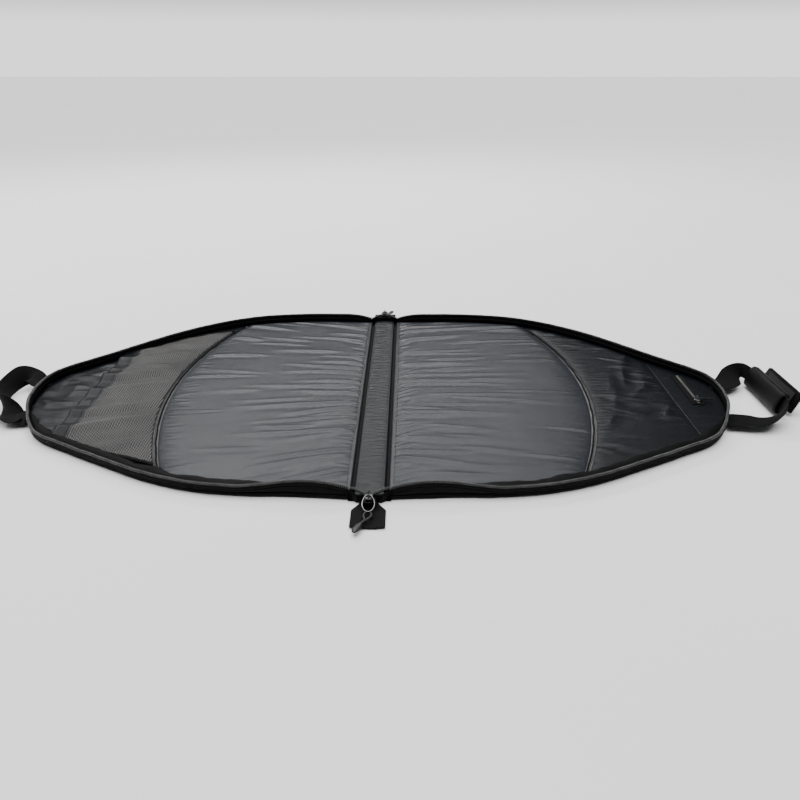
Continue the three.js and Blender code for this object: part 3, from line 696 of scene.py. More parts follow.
def panel_limits(x):
    """The y of the lining's front and back edges at x on the right half."""
    front, back = RIM_U < 0.5, RIM_U > 0.5
    y_front = np.interp(x, RIM[front, 0], RIM[front, 1] + WALL_INSET)
    y_back = np.interp(x, RIM[back, 0][::-1], RIM[back, 1][::-1] - WALL_INSET)
    return y_front, y_back


ARC_LINE = cross_seam(ARC[0] + 3.7, ARC[1], WALL_INSET, 1)[2](np.linspace(0, 1, 400))


def net_height(x, y):
    """Height of the slack net at a place on it, and its share of the way to the hem."""
    x_arc = np.interp(y, ARC_LINE[:, 1], ARC_LINE[:, 0])
    y_front, y_back = panel_limits(np.minimum(x, 397))
    s = np.clip((x - x_arc) / (HEM_X[0] - x_arc), 0, 1)
    t = np.clip((y - y_front) / (y_back - y_front), 0.001, 0.999)
    slack = 5.4 * s ** 0.8 * np.sin(np.pi * t) ** 0.5
    waves = (3.2 * wobble(y + 0.45 * x, 66, 71) + 1.3 * wobble(y - 0.2 * x, 27, 73))
    return LINING_TOP + 1.3 + slack + np.maximum(waves + 1.4, -0.6) * np.minimum(slack / 2.5, 1), s


def net_bounds(x):
    """The net stops short of the rim, most of all beside the curved seam."""
    y_front, y_back = panel_limits(x)
    lean = np.clip((HEM_X[0] - x) / 120, 0, 1)
    return y_front + 4 + 20 * lean, y_back - 3 - 22 * lean


def mesh_pocket():
    """Knitted net: zigzag strands that touch their neighbours by turns."""
    pitch, cell, step = 3.1, 5.6, 1.4
    runs = []
    for k, x in enumerate(np.arange(HEM_X[0] + 2, ARC[0] - 4, -pitch)):
        low, high = net_bounds(x)
        y = np.arange(low, high, step)
        inside = np.interp(y, ARC_LINE[:, 1], ARC_LINE[:, 0]) < x - 1
        y_runs = np.split(y, np.flatnonzero(np.diff(inside.astype(int))) + 1)
        for part in y_runs:
            middle = part[len(part) // 2]
            if len(part) < 6 or np.interp(middle, ARC_LINE[:, 1], ARC_LINE[:, 0]) > x - 1:
                continue
            phase = np.pi * (k % 2)
            zigzag = x + 0.4 * np.sin(2 * np.pi * part / cell + phase)
            z, _ = net_height(zigzag, part)
            path = np.column_stack([-zigzag, part, z])
            runs.append((round_sections(path, 0.95, 5, flat=0.6), False))
    net = new_mesh("pocket_net", *tubes(runs), NET, turn=False)
    settle(net, "left_half", "mesh_cloth", "mesh_pocket_left")

    for sign, end in ENDS:
        x = np.linspace(ARC[0] + 14, HEM_X[0] + 1, 90)
        low, high = net_bounds(x)
        y = low if sign < 0 else high
        z, _ = net_height(x, y)
        path = np.column_stack([-x, y, z])
        band = np.array([(-0.4, -3), (0.5, -3), (0.8, 0), (0.5, 3), (-0.4, 3), (-0.6, 0)])
        sections = np.stack([path + (0, dy, dz) for dz, dy in band], 1)
        edge = new_mesh(f"net_edge_{end}", *tubes([(sections, False)]), BINDING)
        settle(edge, "left_half", "binding_tape")

    low, high = net_bounds(HEM_X[0])
    y = np.linspace(low - 1, high + 1, 260)
    across = np.linspace(0, 1, 26)[:, None]
    x = HEM_X[0] - 0.5 + (HEM_X[1] - HEM_X[0] + 0.5) * across + 0 * y
    base, _ = net_height(np.full_like(y, HEM_X[0]), y)
    ridges = 0.7 * np.exp(-((across - 0.12) / 0.07) ** 2) + 0.7 * np.exp(-((across - 0.88) / 0.07) ** 2)
    gathers = 0.18 * wobble(y + 8 * across, 24, 77) * np.sin(np.pi * across)
    top = np.dstack([-x, np.broadcast_to(y, x.shape), base + 0.9 + ridges + gathers])
    hem = slab("pocket_hem", top, top[..., 2] - 1.6, END_CLOTH)
    settle(hem, "left_half", "binding_tape", "mesh_hem_left")
    for k, column in enumerate((5, 20)):
        stitches(f"hem_stitches_{k + 1}", top[column], (0, 0, 1), "left_half")


# ---- Shells, seams beside the spine and the spine ----

def shells():
    for side, name in SIDES:
        s, t = mesh_grid(40, 60)
        plan = panel_plan(spine_seam(4.9, 1), tip_edge(4.9, 1), 4.9, 1, s, t)
        x, y = plan[..., 0], plan[..., 1]
        inner = np.minimum(np.minimum(s, 1 - s), np.minimum(t, 1 - t)) > 0.01
        swell = 0.22 * (1 + wobble(x + 0.3 * y, 70, 51)) * (1 + wobble(y, 60, 52)) * inner
        top = np.dstack([side * x, y, np.full_like(x, SHELL_T)])
        low = np.clip(swell, 0, 0.9)
        shell = slab(f"outer_cloth_{name}", top, low, SHELL_CLOTH)
        settle(shell, f"{name}_half", "outer_cloth", f"shell_{name}")


def spine_parts():
    low, high = box_mm("spine_lining")
    half, y0, y1 = high[0], low[1], high[1]
    across, along = mesh_grid(34, 420)
    edge = half + SEAM_OVERHANG
    x, y = -edge + 2 * edge * across, y0 + (y1 - y0) * along
    draw = np.random.default_rng(17)
    rows, at = [], y0 + 6
    while at < y1 - 6:
        from_left = draw.uniform() < 0.5
        rows.append((-half if from_left else half, at, (0 if from_left else 180) + draw.normal(0, 7),
                     draw.uniform(10, 26), draw.uniform(0.8, 1.5), draw.uniform(0.5, 1.2),
                     draw.uniform(-2, 2), 0.12))
        at += draw.uniform(2.6, 6.5)
    round_off = (1 - np.abs(2 * across - 1) ** 4)
    z = low[2] + 1.6 + 1.2 * round_off + creases(x, y, rows) * (0.35 + 0.65 * round_off)
    pad = slab("spine_pad", np.dstack([x, y, z]), low[2], SPINE_CLOTH)
    settle(pad, "spine", "pad_lining", "spine_lining")
    for side, name in SIDES:
        seam = np.column_stack([np.full(420, side * (half - 1.6)), y[0], z[1 if side < 0 else -2]])
        stitches(f"spine_stitches_{name}", seam[6:-6], (0, 0, 1), "spine", "pad_lining")
        fold_strips(side, name, half, y0, y1)


def fold_strips(side, name, half, y0, y1):
    """The recessed seam in the lining and the cloth below it."""
    across, along = mesh_grid(14, 240)
    y = y0 + 1 + (y1 - y0 - 3) * along
    for label, slot, height, thick, mat in (
        ("groove", "pad_lining", 7.7 - 3.0 * np.sin(np.pi * across) ** 0.8, 0.8, FACING_CLOTH),
        ("outer_fold", "outer_cloth", 1.7 + 0 * across, 1.2, SHELL_CLOTH),
    ):
        x = half - 0.3 + (SEAM_X - half + 0.6) * across
        top = np.dstack([side * x, y, height + 0.12 * wobble(y * 1.0, 8, 61)])
        strip = slab(f"{label}_{name}", top, top[..., 2] - thick, mat)
        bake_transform(strip)


# ---- Rim: bound edge, wall, zip tape and coil ----

RIM_STATIONS = np.linspace(0, 1, 620)


def rim_loft(name, section, side, mat):
    """A closed band along the rim. section gives each corner's (inset, z) arrays."""
    u = RIM_STATIONS
    corners = []
    for inset, z in section(u, u * RIM_LENGTH):
        plan = rim(u, inset + 0 * u, side)
        corners.append(np.column_stack([plan, z + 0 * u]))
    return new_mesh(name, *tubes([(np.stack(corners, 1), False)]), mat)


def binding_section(seed):
    def section(u, along):
        sway = 0.5 * wobble(along, 38, seed)
        lift = 0.5 * wobble(along, 52, seed + 1)
        shape = ((0.5, 1.1), (-0.2, 2.6), (0.1, 4.2), (1.0, 5.4), (3.6, 5.4), (4.3, 4.0),
                 (4.3, 1.4), (3.6, 0.6))
        return [(inset + sway * (z / 5), z + lift * (z / 5.4)) for inset, z in shape]
    return section


def wall_section(seed):
    def section(u, along):
        sink = dip(u)
        sway = 0.9 * wobble(along, 44, seed) + 0.45 * wobble(along, 15, seed + 1)
        outer = ((1.6, 5.7, 0), (0.7, 7.6, 0.8), (0.5, 10.2, 1), (0.8, 13.0, 0.7), (1.3, 16.1, 0.2))
        inner = ((3.2, 16.1, 0), (3.3, 12.0, 0), (3.35, 5.9, 0))
        out = lean(u)
        bands = []
        for inset, z, part in outer + inner:
            share = np.clip((z - 5.7) / 10.4, 0, 1)
            bands.append((inset - part * np.maximum(sway, -0.6) - out * share, z - sink * share))
        return bands
    return section


def tape_section(u, along):
    sink, out = dip(u), lean(u)
    sway = 0.3 * wobble(along, 36, 91)
    shape = ((1.55, 15.9, 0), (1.5, 18.0, 0.5), (1.7, 21.2, 1), (2.9, 21.2, 1), (3.05, 18.0, 0.5),
             (3.1, 15.9, 0))
    return [(inset + part * sway - out, z - sink) for inset, z, part in shape]


def coil_points(path, across, over, pitch=2.1, steps=9, wire=0.44, wide=1.7, tall=1.5):
    """A wound filament round a path; across and over are its directions at each point."""
    length = np.linalg.norm(np.diff(path, axis=0), axis=1).sum()
    turns = length / pitch
    dense = np.linspace(0, 1, int(turns * steps))
    where = np.linspace(0, 1, len(path))
    at, side, up = (np.stack([np.interp(dense, where, c) for c in a.T], 1)
                    for a in (path, across, over))
    angle = 2 * np.pi * turns * dense
    centre = at + wide * np.cos(angle)[:, None] * side + tall * np.sin(angle)[:, None] * up
    out = np.cos(angle)[:, None] * side + np.sin(angle)[:, None] * up
    tangent = np.gradient(centre, axis=0)
    tangent /= np.linalg.norm(tangent, axis=1)[:, None]
    third = np.cross(tangent, out)
    ring = np.linspace(0, 2 * np.pi, 5, endpoint=False)
    return centre[:, None] + wire * (np.cos(ring)[None, :, None] * out[:, None]
                                     + np.sin(ring)[None, :, None] * third[:, None])


def rims():
    for side, name in SIDES:
        half = f"{name}_half"
        edge = rim_loft(f"bound_edge_{name}", binding_section(101 + side), side, BINDING)
        settle(edge, half, "binding_tape", f"edge_binding_{name}")
        wall = rim_loft(f"wall_{name}", wall_section(111 + side), side, FACING_CLOTH)
        settle(wall, half, "outer_cloth", f"side_wall_{name}")
        tape = rim_loft(f"main_zip_tape_{name}", tape_section, side, TAPE)
        settle(tape, half, "binding_tape", f"zip_tape_{name}")

        u = np.linspace(0, 1, 1600)
        plan = rim(u, 2.3 + 0.3 * wobble(u * RIM_LENGTH, 36, 91) - lean(u), side)
        path = np.column_stack([plan, COIL_Z - dip(u)])
        inwards = rim(u, 3.3, side) - rim(u, 2.3, side)
        across = np.column_stack([inwards, 0 * u])
        up = np.broadcast_to((0.0, 0.0, 1.0), path.shape)
        sections = coil_points(path, across, up)
        coil = new_mesh(f"main_zip_coil_{name}", *tubes([(sections, False)]), COIL_NYLON_PAINTED_GLINT, turn=False)
        settle(coil, half, "zip_coil", f"zip_coil_{name}")
        core = tubes([(round_sections(path, 1.05, 6), False)])
        cord = new_mesh(f"main_zip_core_{name}", *core, TAPE, turn=False)
        settle(cord, half, "zip_coil")

        u = np.linspace(0.02, 0.98, 900)
        for row, (inset, z) in enumerate(((1.38, 17.4), (0.9, 14.4))):
            line = np.column_stack([rim(u, inset - lean(u), side), z - dip(u)])
            stitches(f"rim_stitches_{name}_{row + 1}", line, (0, 0, 1), half, pitch=3.6)
        wall_fold(side, name)
        for sign, end in ENDS:
            zip_end(side, name, sign, end)


def wall_fold(side, name):
    """The slack top of the front wall, rolled inwards over the lining's edge."""
    u = np.linspace(SLUMP_FROM - SLUMP_RUN + 0.004, SLUMP_TO + SLUMP_RUN - 0.004, 330)
    live = slump(u) ** 0.6
    along = u * RIM_LENGTH
    reach = live * (12 + 2.6 * wobble(along, 85, 201 + side) + 0.8 * wobble(along, 17, 205 + side))
    rise = live * (1 + 0.22 * wobble(along, 42, 211 + side))
    corners = []
    for part, z, tall in ((-0.25, 8.5, 2.0), (-0.1, 10, 2.8), (0.25, 10, 4.6), (0.55, 10, 5.0),
                          (0.85, 10, 4.0), (1.0, 10, 2.4), (0.85, 10, 1.4), (0.4, 9.6, 1.0)):
        corners.append(np.column_stack([rim(u, 3.6 + part * reach, side), z + tall * rise]))
    fold = new_mesh(f"wall_fold_{name}", *tubes([(np.stack(corners, 1), False)]), FACING_CLOTH)
    settle(fold, f"{name}_half", "outer_cloth")


def zip_end(side, name, sign, end):
    """The zip's last stretch, from a half's rim down to the slider, with the wall's corner."""
    low, high = box_mm(f"slider_{end}")
    mouth_y = high[1] if sign < 0 else low[1]
    z_slot = low[2] + 2.7
    u = 0.0 if sign < 0 else 1.0
    rim_y = rim(u, 2.3, 1)[1]
    start_z = COIL_Z - DIP
    points = [(SEAM_X + 3, rim_y, start_z + 0.6), (SEAM_X, rim_y, start_z),
              (17, rim_y + sign * 1.2, start_z * 0.6 + z_slot * 0.4 + 0.6),
              (9.5, (rim_y + mouth_y) / 2 + sign * 1, z_slot + 0.6),
              (3.2, mouth_y - sign * 0.5, z_slot)]
    path = catmull(np.array(points) * (side, 1, 1), 80)[12:]
    across, up = frames(path)
    coil = coil_points(path, across, up)
    piece = new_mesh(f"zip_coil_end_{end}_{name}", *tubes([(coil, False)]), COIL_NYLON_PAINTED_GLINT, turn=False)
    foot = np.minimum(path[:, 2] - 4.6, 9.2 if sign < 0 else 13.6)
    foot = np.where(np.abs(path[:, 0]) < SPINE_HALF + 1, path[:, 2] - 2.4, foot)
    thin = 0.7 * across
    sections = np.stack([path - thin + (0, 0, -0.4), path + thin + (0, 0, -0.4),
                         np.column_stack([(path + thin)[:, :2], foot]),
                         np.column_stack([(path - thin)[:, :2], foot])], 1)
    tape = new_mesh(f"zip_tape_end_{end}_{name}", *tubes([(sections, False)]), TAPE)

    wall_low, wall_high = box_mm(f"spine_wall_{end}")
    k = np.linspace(0, 1, 16)
    x = SPINE_HALF - 0.5 + (SEAM_X + 2.5 - SPINE_HALF) * k
    outer = (wall_low[1] if sign < 0 else wall_high[1])
    y = outer + (rim(u, 1.4, 1)[1] - outer) * k ** 0.7
    top = wall_high[2] + (13.6 - wall_high[2]) * k ** 0.8
    ripple = 0.5 * np.sin(np.pi * k) * np.sin(5 * np.pi * k)
    corner = []
    behind = -1.9 * sign
    for dy, share in ((0, 0), (ripple, 0.5), (0, 1), (behind, 1), (behind, 0.5), (behind, 0)):
        corner.append(np.column_stack([side * x, y + dy, 1 + (top - 1) * share]))
    wall = new_mesh(f"wall_corner_{end}_{name}", *tubes([(np.stack(corner, 1), False)]), FACING_CLOTH)
    for obj in (piece, tape, wall):
        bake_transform(obj)


# ---- Spine ends: wall, zip patch, slider, ring, cord and tab ----

def bevelled_plate(outline, low, high, bevel):
    """A plate with rounded edges, as one loft of its outline."""
    p = np.asarray(outline, float)
    centre = p.mean(0)
    reach = np.linalg.norm(p - centre, axis=1)[:, None]
    rings = []
    for inset, z in ((bevel, low), (0.3 * bevel, low + 0.3 * bevel), (0, low + bevel),
                     (0, high - bevel), (0.3 * bevel, high - 0.3 * bevel), (bevel, high)):
        ring = centre + (p - centre) * (1 - inset / reach)
        rings.append(np.column_stack([ring, np.full(len(p), z)]))
    return np.stack(rings)


def smooth_outline(points, count):
    """A closed smooth outline through points."""
    p = np.asarray(points, float)
    loop = catmull(np.vstack([p[-2:], p, p[:3]]), 40 * (len(p) + 4))
    start = np.argmin(np.linalg.norm(loop[:len(loop) // 2] - p[0], axis=1))
    stop = len(loop) // 2 + np.argmin(np.linalg.norm(loop[len(loop) // 2:] - p[0], axis=1))
    return even(loop[start:stop + 1], count + 1)[:-1]


def slider(sign, end):
    """A slider's two shield-shaped plates, its divider, side flanges and arched bridge."""
    low, high = box_mm(f"slider_{end}")
    z, y0 = low[2], (high[1] if sign < 0 else low[1])
    right = [(0, 0.9), (3.2, 0.1), (5.3, 1.4), (5.2, 5.0), (4.3, 9.5), (3.6, 13.6), (1.8, 14.9)]
    outline = smooth_outline(right + [(-x, y) for x, y in right[::-1][:-1]], 48)
    runs = [(bevelled_plate(outline, z, z + 1.5, 0.45), False),
            (bevelled_plate(outline, z + 4.0, z + 5.5, 0.55), False)]
    wedge = smooth_outline([(0, 1.0), (1.5, 2.2), (0.9, 5.0), (0, 6.4), (-0.9, 5.0), (-1.5, 2.2)], 20)
    runs.append((bevelled_plate(wedge, z + 1.2, z + 4.3, 0.1), False))
    for s in (-1, 1):
        rail = np.array([(s * 4.6, y, 0) for y in (6, 8, 10, 12, 14)], float)
        rail[:, 0] -= s * np.linspace(0, 1.0, 5)
        for height in (1.3, 3.4):
            path = rail + (0, 0, z + height + 0.4)
            runs.append((round_sections(path, 0.62, 8), False))
    bridge = catmull([(0, 2.0, z + 5.0), (0, 2.3, z + 8.0), (0, 4.2, z + 9.4), (0, 8.8, z + 9.4),
                      (0, 11.2, z + 8.2), (0, 11.6, z + 5.0)], 30)
    runs.append((round_sections(bridge, 1.5, 12, up=(1, 0, 0), flat=0.5), False))
    points, faces = tubes(runs)
    points[:, 1] = y0 + sign * points[:, 1]
    if sign < 0:
        points[:, 0] *= -1
    body = sharpen(new_mesh(f"zip_slider_{end}", points, faces, BLACK_METAL), 50)
    settle(body, "spine", "zip_metal", f"slider_{end}")


def pull(sign, end):
    """The ring in the slider's eye, the short cord looped through it and the moulded end."""
    joint = next(j for j in frame["joints"] if j["name"] == f"{end}_pull_lift")
    pivot = np.array(joint["pos_m"]) / MM
    reach, rest_z = 24.7, 6.0
    slope = math.asin((pivot[2] - rest_z) / reach)
    out = np.array([0, sign * math.cos(slope), -math.sin(slope)])
    wide = np.array([sign, 0, 0])
    over = np.cross(wide, out)

    def place(points):
        p = np.asarray(points, float)
        return pivot + p[:, :1] * wide + p[:, 1:2] * out + p[:, 2:] * over

    turn = np.linspace(0, 2 * np.pi, 72, endpoint=False)
    x = 6.9 * np.cos(turn)
    y = 11.2 + 10.8 * np.sin(turn)
    x *= 1 - 0.16 * np.clip(-np.sin(turn), 0, 1)
    loop = place(np.column_stack([x, y, 0 * x]))
    centre = loop.mean(0)
    radial = (loop - centre) / np.linalg.norm(loop - centre, axis=1)[:, None]
    section = np.linspace(0, 2 * np.pi, 10, endpoint=False)
    ring = loop[:, None] + 0.8 * (np.cos(section)[None, :, None] * radial[:, None]
                                   + np.sin(section)[None, :, None] * over)
    piece = new_mesh(f"slider_ring_{end}", *tubes([(ring, True)]), METAL)
    settle(piece, f"{end}_pull", "zip_metal", f"pull_ring_{end}")

    root = pivot + out * reach
    root[2] = rest_z
    flat = np.array([0, sign, 0.0])
    line = [(-3.6, 0.2, 0.3), (-4.2, 3, 0.0), (-1.6, 8, 0), (2.2, 12.5, 0), (6.4, 17.5, 0)]
    twin = [(3.4, 0.2, 0.3), (4.6, 4, 0.6), (3.2, 9.5, 0.5), (3.6, 13.6, 0.3), (6.9, 17.9, 0)]
    bight = [(-3.6, 0.2, 0.3), (-2.2, -2.9, 0.2), (0.4, -3.6, 0), (2.8, -2.6, 0.2), (3.4, 0.2, 0.3)]
    runs = []
    for points in (line, twin, bight):
        path = catmull([root + a * wide + b * flat + (0, 0, c) for a, b, c in points], 30)
        strand = 1.35 + 0.08 * np.sin(np.linspace(0, 40, 30))
        runs.append((round_sections(path, strand, 8), False))
    cord = new_mesh(f"slider_cord_{end}", *tubes(runs), MOULDED)
    settle(cord, f"{end}_pull", "moulded_pull", f"pull_cord_{end}")

    heading = math.radians(24)
    k = np.linspace(0, 1, 20)
    start = root + 6.2 * wide + 17.0 * flat
    direction = math.sin(heading) * wide + math.cos(heading) * flat
    path = start + 19 * k[:, None] * direction
    swell = np.clip(np.sin(np.pi * np.clip(k * 0.96 + 0.03, 0, 1)), 0, 1) ** 0.34
    swell *= 0.82 + 0.18 * k
    grip = round_sections(path, 4.6 * swell, 14, flat=0.52)
    grip += 0.18 * np.cos(np.linspace(0, 9 * 2 * np.pi, 20))[:, None, None] * (0, 0, 1)
    piece = new_mesh(f"slider_grip_{end}", *tubes([(grip, False)]), MOULDED)
    settle(piece, f"{end}_pull", "moulded_pull", f"pull_end_{end}")


def spine_end(sign, end):
    low, high = box_mm(f"spine_wall_{end}")
    k, h = mesh_grid(40, 8)
    x = -high[0] + 2 * high[0] * k
    bulge = 0.5 * np.sin(np.pi * h) * (0.4 + 0.6 * wobble(x + 3 * h, 9, 131 + sign))
    outer, inner = (low[1], high[1]) if sign < 0 else (high[1], low[1])
    z = low[2] + (high[2] - low[2]) * h
    front = np.dstack([x, outer + sign * bulge, z]).transpose(1, 0, 2)
    back = np.dstack([x, np.full_like(x, inner), z]).transpose(1, 0, 2)
    loops = np.concatenate([front, back[:, ::-1]], 1)
    wall = new_mesh(f"end_wall_{end}", *tubes([(loops, False)]), FACING_CLOTH)
    settle(wall, "spine", "outer_cloth", f"spine_wall_{end}")

    low, high = box_mm(f"zip_end_patch_{end}")
    y = np.linspace(low[1], high[1], 26)
    middle_z, half_z = (low[2] + high[2]) / 2, (high[2] - low[2]) / 2
    turn = np.linspace(0, 2 * np.pi, 24, endpoint=False)
    rounding = 1 - 0.14 * (2 * np.abs(y - y.mean()) / np.ptp(y)) ** 6
    sx = np.sign(np.cos(turn)) * np.abs(np.cos(turn)) ** 0.35 * high[0]
    sz = np.sign(np.sin(turn)) * np.abs(np.sin(turn)) ** 0.6 * half_z
    sections = np.stack([np.column_stack([sx * r, np.full(24, yy), middle_z + sz * r])
                         for yy, r in zip(y, rounding)])
    patch = new_mesh(f"zip_stop_patch_{end}", *tubes([(sections, False)]), TAPE)
    settle(patch, "spine", "binding_tape", f"zip_end_patch_{end}")

    low, high = box_mm(f"end_tab_{end}")
    near, far = (high[1], low[1]) if sign < 0 else (low[1], high[1])
    across, along = mesh_grid(44, 60)
    flare = 10 + (high[0] - 10) * np.clip(along / 0.34, 0, 1) ** 1.3
    x = (2 * across - 1) * flare
    y = near + (far - near) * along + sign * (-1.6 * (2 * across - 1) ** 2 * along)
    curl = 0.9 * along ** 2 * np.abs(2 * across - 1) ** 2 + 0.35 * wobble(x + 0.4 * y, 26, 141)
    gather = 0.5 * np.cos(9 * np.pi * across) * np.clip(1 - along / 0.3, 0, 1)
    z = low[2] + 1.2 + np.clip(curl + gather + 0.35, 0, 2.2)
    tab = slab(f"webbing_tab_{end}", np.dstack([x, y, z]), z - 1.1, TAB_WEBBING)
    settle(tab, "spine", "webbing", f"end_tab_{end}")
    rim_line = np.column_stack([x[:, -4], y[:, -4], z[:, -4]])
    stitches(f"tab_stitches_{end}", rim_line[2:-2], (0, 0, 1), "spine", "webbing")
    slider(sign, end)
    pull(sign, end)


# ---- Handles ----

def webbing(stations, steps, sides=10):
    """Flat webbing with rounded edges through (x, y, z, ax, ay, az, width, thickness) rows."""
    rows = np.asarray(stations, float)
    t = np.linspace(0, len(rows) - 1, steps)
    padded = np.vstack([2 * rows[0] - rows[1], rows, 2 * rows[-1] - rows[-2]])
    i = np.minimum(t.astype(int), len(rows) - 2)
    f = (t - i)[:, None]
    a, b, c, d = (padded[i + k] for k in range(4))
    run = 0.5 * (2 * b + (c - a) * f + (2 * a - 5 * b + 4 * c - d) * f**2
                 + (3 * b - a - 3 * c + d) * f**3)
    path, across, size = run[:, :3], run[:, 3:6], run[:, 6:]
    tangent = np.gradient(path, axis=0)
    tangent /= np.linalg.norm(tangent, axis=1)[:, None]
    across = across - (across * tangent).sum(1)[:, None] * tangent
    across /= np.linalg.norm(across, axis=1)[:, None]
    normal = np.cross(tangent, across)
    turn = np.linspace(0, 2 * np.pi, 2 * sides, endpoint=False)
    u = np.sign(np.cos(turn)) * np.abs(np.cos(turn)) ** 0.45
    v = np.sign(np.sin(turn)) * np.abs(np.sin(turn)) ** 0.7
    length = np.r_[0, np.cumsum(np.linalg.norm(np.diff(path, axis=0), axis=1))]
    cup = 0.6 * wobble(length, 55, 151)
    half_w, half_t = size[:, :1] / 2, size[:, 1:] / 2
    offset = (half_w * u)[..., None] * across[:, None]
    lift = (half_t * v + cup[:, None] * (u ** 2 - 0.4))[..., None] * normal[:, None]
    return path[:, None] + offset + lift


def chord_frame(side):
    """The line between a tip's two roots: a point on it, its direction and the way out."""
    name = "left" if side < 0 else "right"
    joint = next(j for j in frame["joints"] if j["name"] == f"{name}_handle_swing")
    axis = np.array(joint["axis"])[:2]
    along = axis / np.linalg.norm(axis) * (1 if axis[1] > 0 else -1)
    outwards = np.array([along[1], -along[0]])
    if outwards[0] * side < 0:
        outwards = -outwards
    return np.array(joint["pos_m"])[:2] / MM, along, outwards


ROOT_ALONG = (0.0, 119.5)


def root_station(side, which, out, z=10.0, wide=37.0, thick=2.0):
    point, along, outwards = chord_frame(side)
    at = point + along * ROOT_ALONG[which] + outwards * out
    return [at[0], at[1], z, along[0], along[1], 0, wide, thick]


def handle(side, name, loop, steps, *nodes):
    rows = ([root_station(side, 1, out) for out in (1.5, 5.5, 9.5)] + [list(r) for r in loop]
            + [root_station(side, 0, out) for out in (9.5, 5.5, 1.5)])
    if side > 0:
        for row in rows[-3:]:
            row[3:6] = [-row[3], -row[4], -row[5]]
    sections = webbing(rows, steps)
    strap = new_mesh(f"webbing_loop_{name}", *tubes([(sections, False)]), WEBBING)
    settle(strap, f"{name}_handle", "webbing", *nodes)
    for which, end in ((0, "front"), (1, "rear")):
        root = np.array([root_station(side, which, out, 10 - 0.2 * k)
                         for k, out in enumerate((2.5, 0, -2.5, -5, -7.5, -10.5))])
        sections = webbing(root, 18)
        piece = new_mesh(f"webbing_root_{name}_{end}", *tubes([(sections, False)]), WEBBING)
        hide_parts(f"handle_root_{name}_{end}")
        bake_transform(piece)


LEFT_LOOP = (
    (-527, 19, 16, -0.25, 0.9, 0.45, 35, 2), (-536, 11, 21, -0.4, 0.45, 0.85, 31, 2),
    (-540, -12, 21.5, -0.25, 0.05, 1, 31, 2), (-539, -42, 20.5, -0.25, 0, 1, 31, 2),
    (-530, -70, 18.5, -0.45, 0.3, 0.9, 31, 2), (-514, -92, 14.5, -0.2, 0.8, 0.5, 34, 2),
)
TILT = math.radians(18)
GRIP_X, GRIP_Z = 565, 18
GRIP_BACK, GRIP_LENGTH = 30, 104
FLAP_X, FLAP_Z, FLAP_BACK, FLAP_LENGTH = 576.5, 3.4, 28, 100


def in_grip(y):
    return (GRIP_X, y, GRIP_Z, math.sin(TILT), 0, math.cos(TILT), 20, 3.6)


RIGHT_LOOP = (
    (529, 22, 12, 0, 1, 0.15, 36, 2), (541, 42, 15, -0.2, 0.8, 0.4, 30, 2),
    (558, 52, 17.5, 0.2, 0.4, 0.9, 22, 3.2), in_grip(34), in_grip(24), in_grip(-4),
    in_grip(-40), in_grip(-68), in_grip(-78), (560, -90, 17, 0.2, -0.4, 0.9, 22, 3.2),
    (543, -103, 14, 0.2, -0.8, 0.5, 32, 2.2), (520, -110, 11, 0.1, -1, 0.1, 36, 2),
)


def grip_frame(points, x, z, tilt):
    """Places (across, along Y, up) points in a frame that leans by tilt."""
    p = np.asarray(points, float)
    c, s = math.cos(tilt), math.sin(tilt)
    return np.stack([x + p[..., 0] * c + p[..., 2] * s, p[..., 1],
                     z - p[..., 0] * s + p[..., 2] * c], -1)


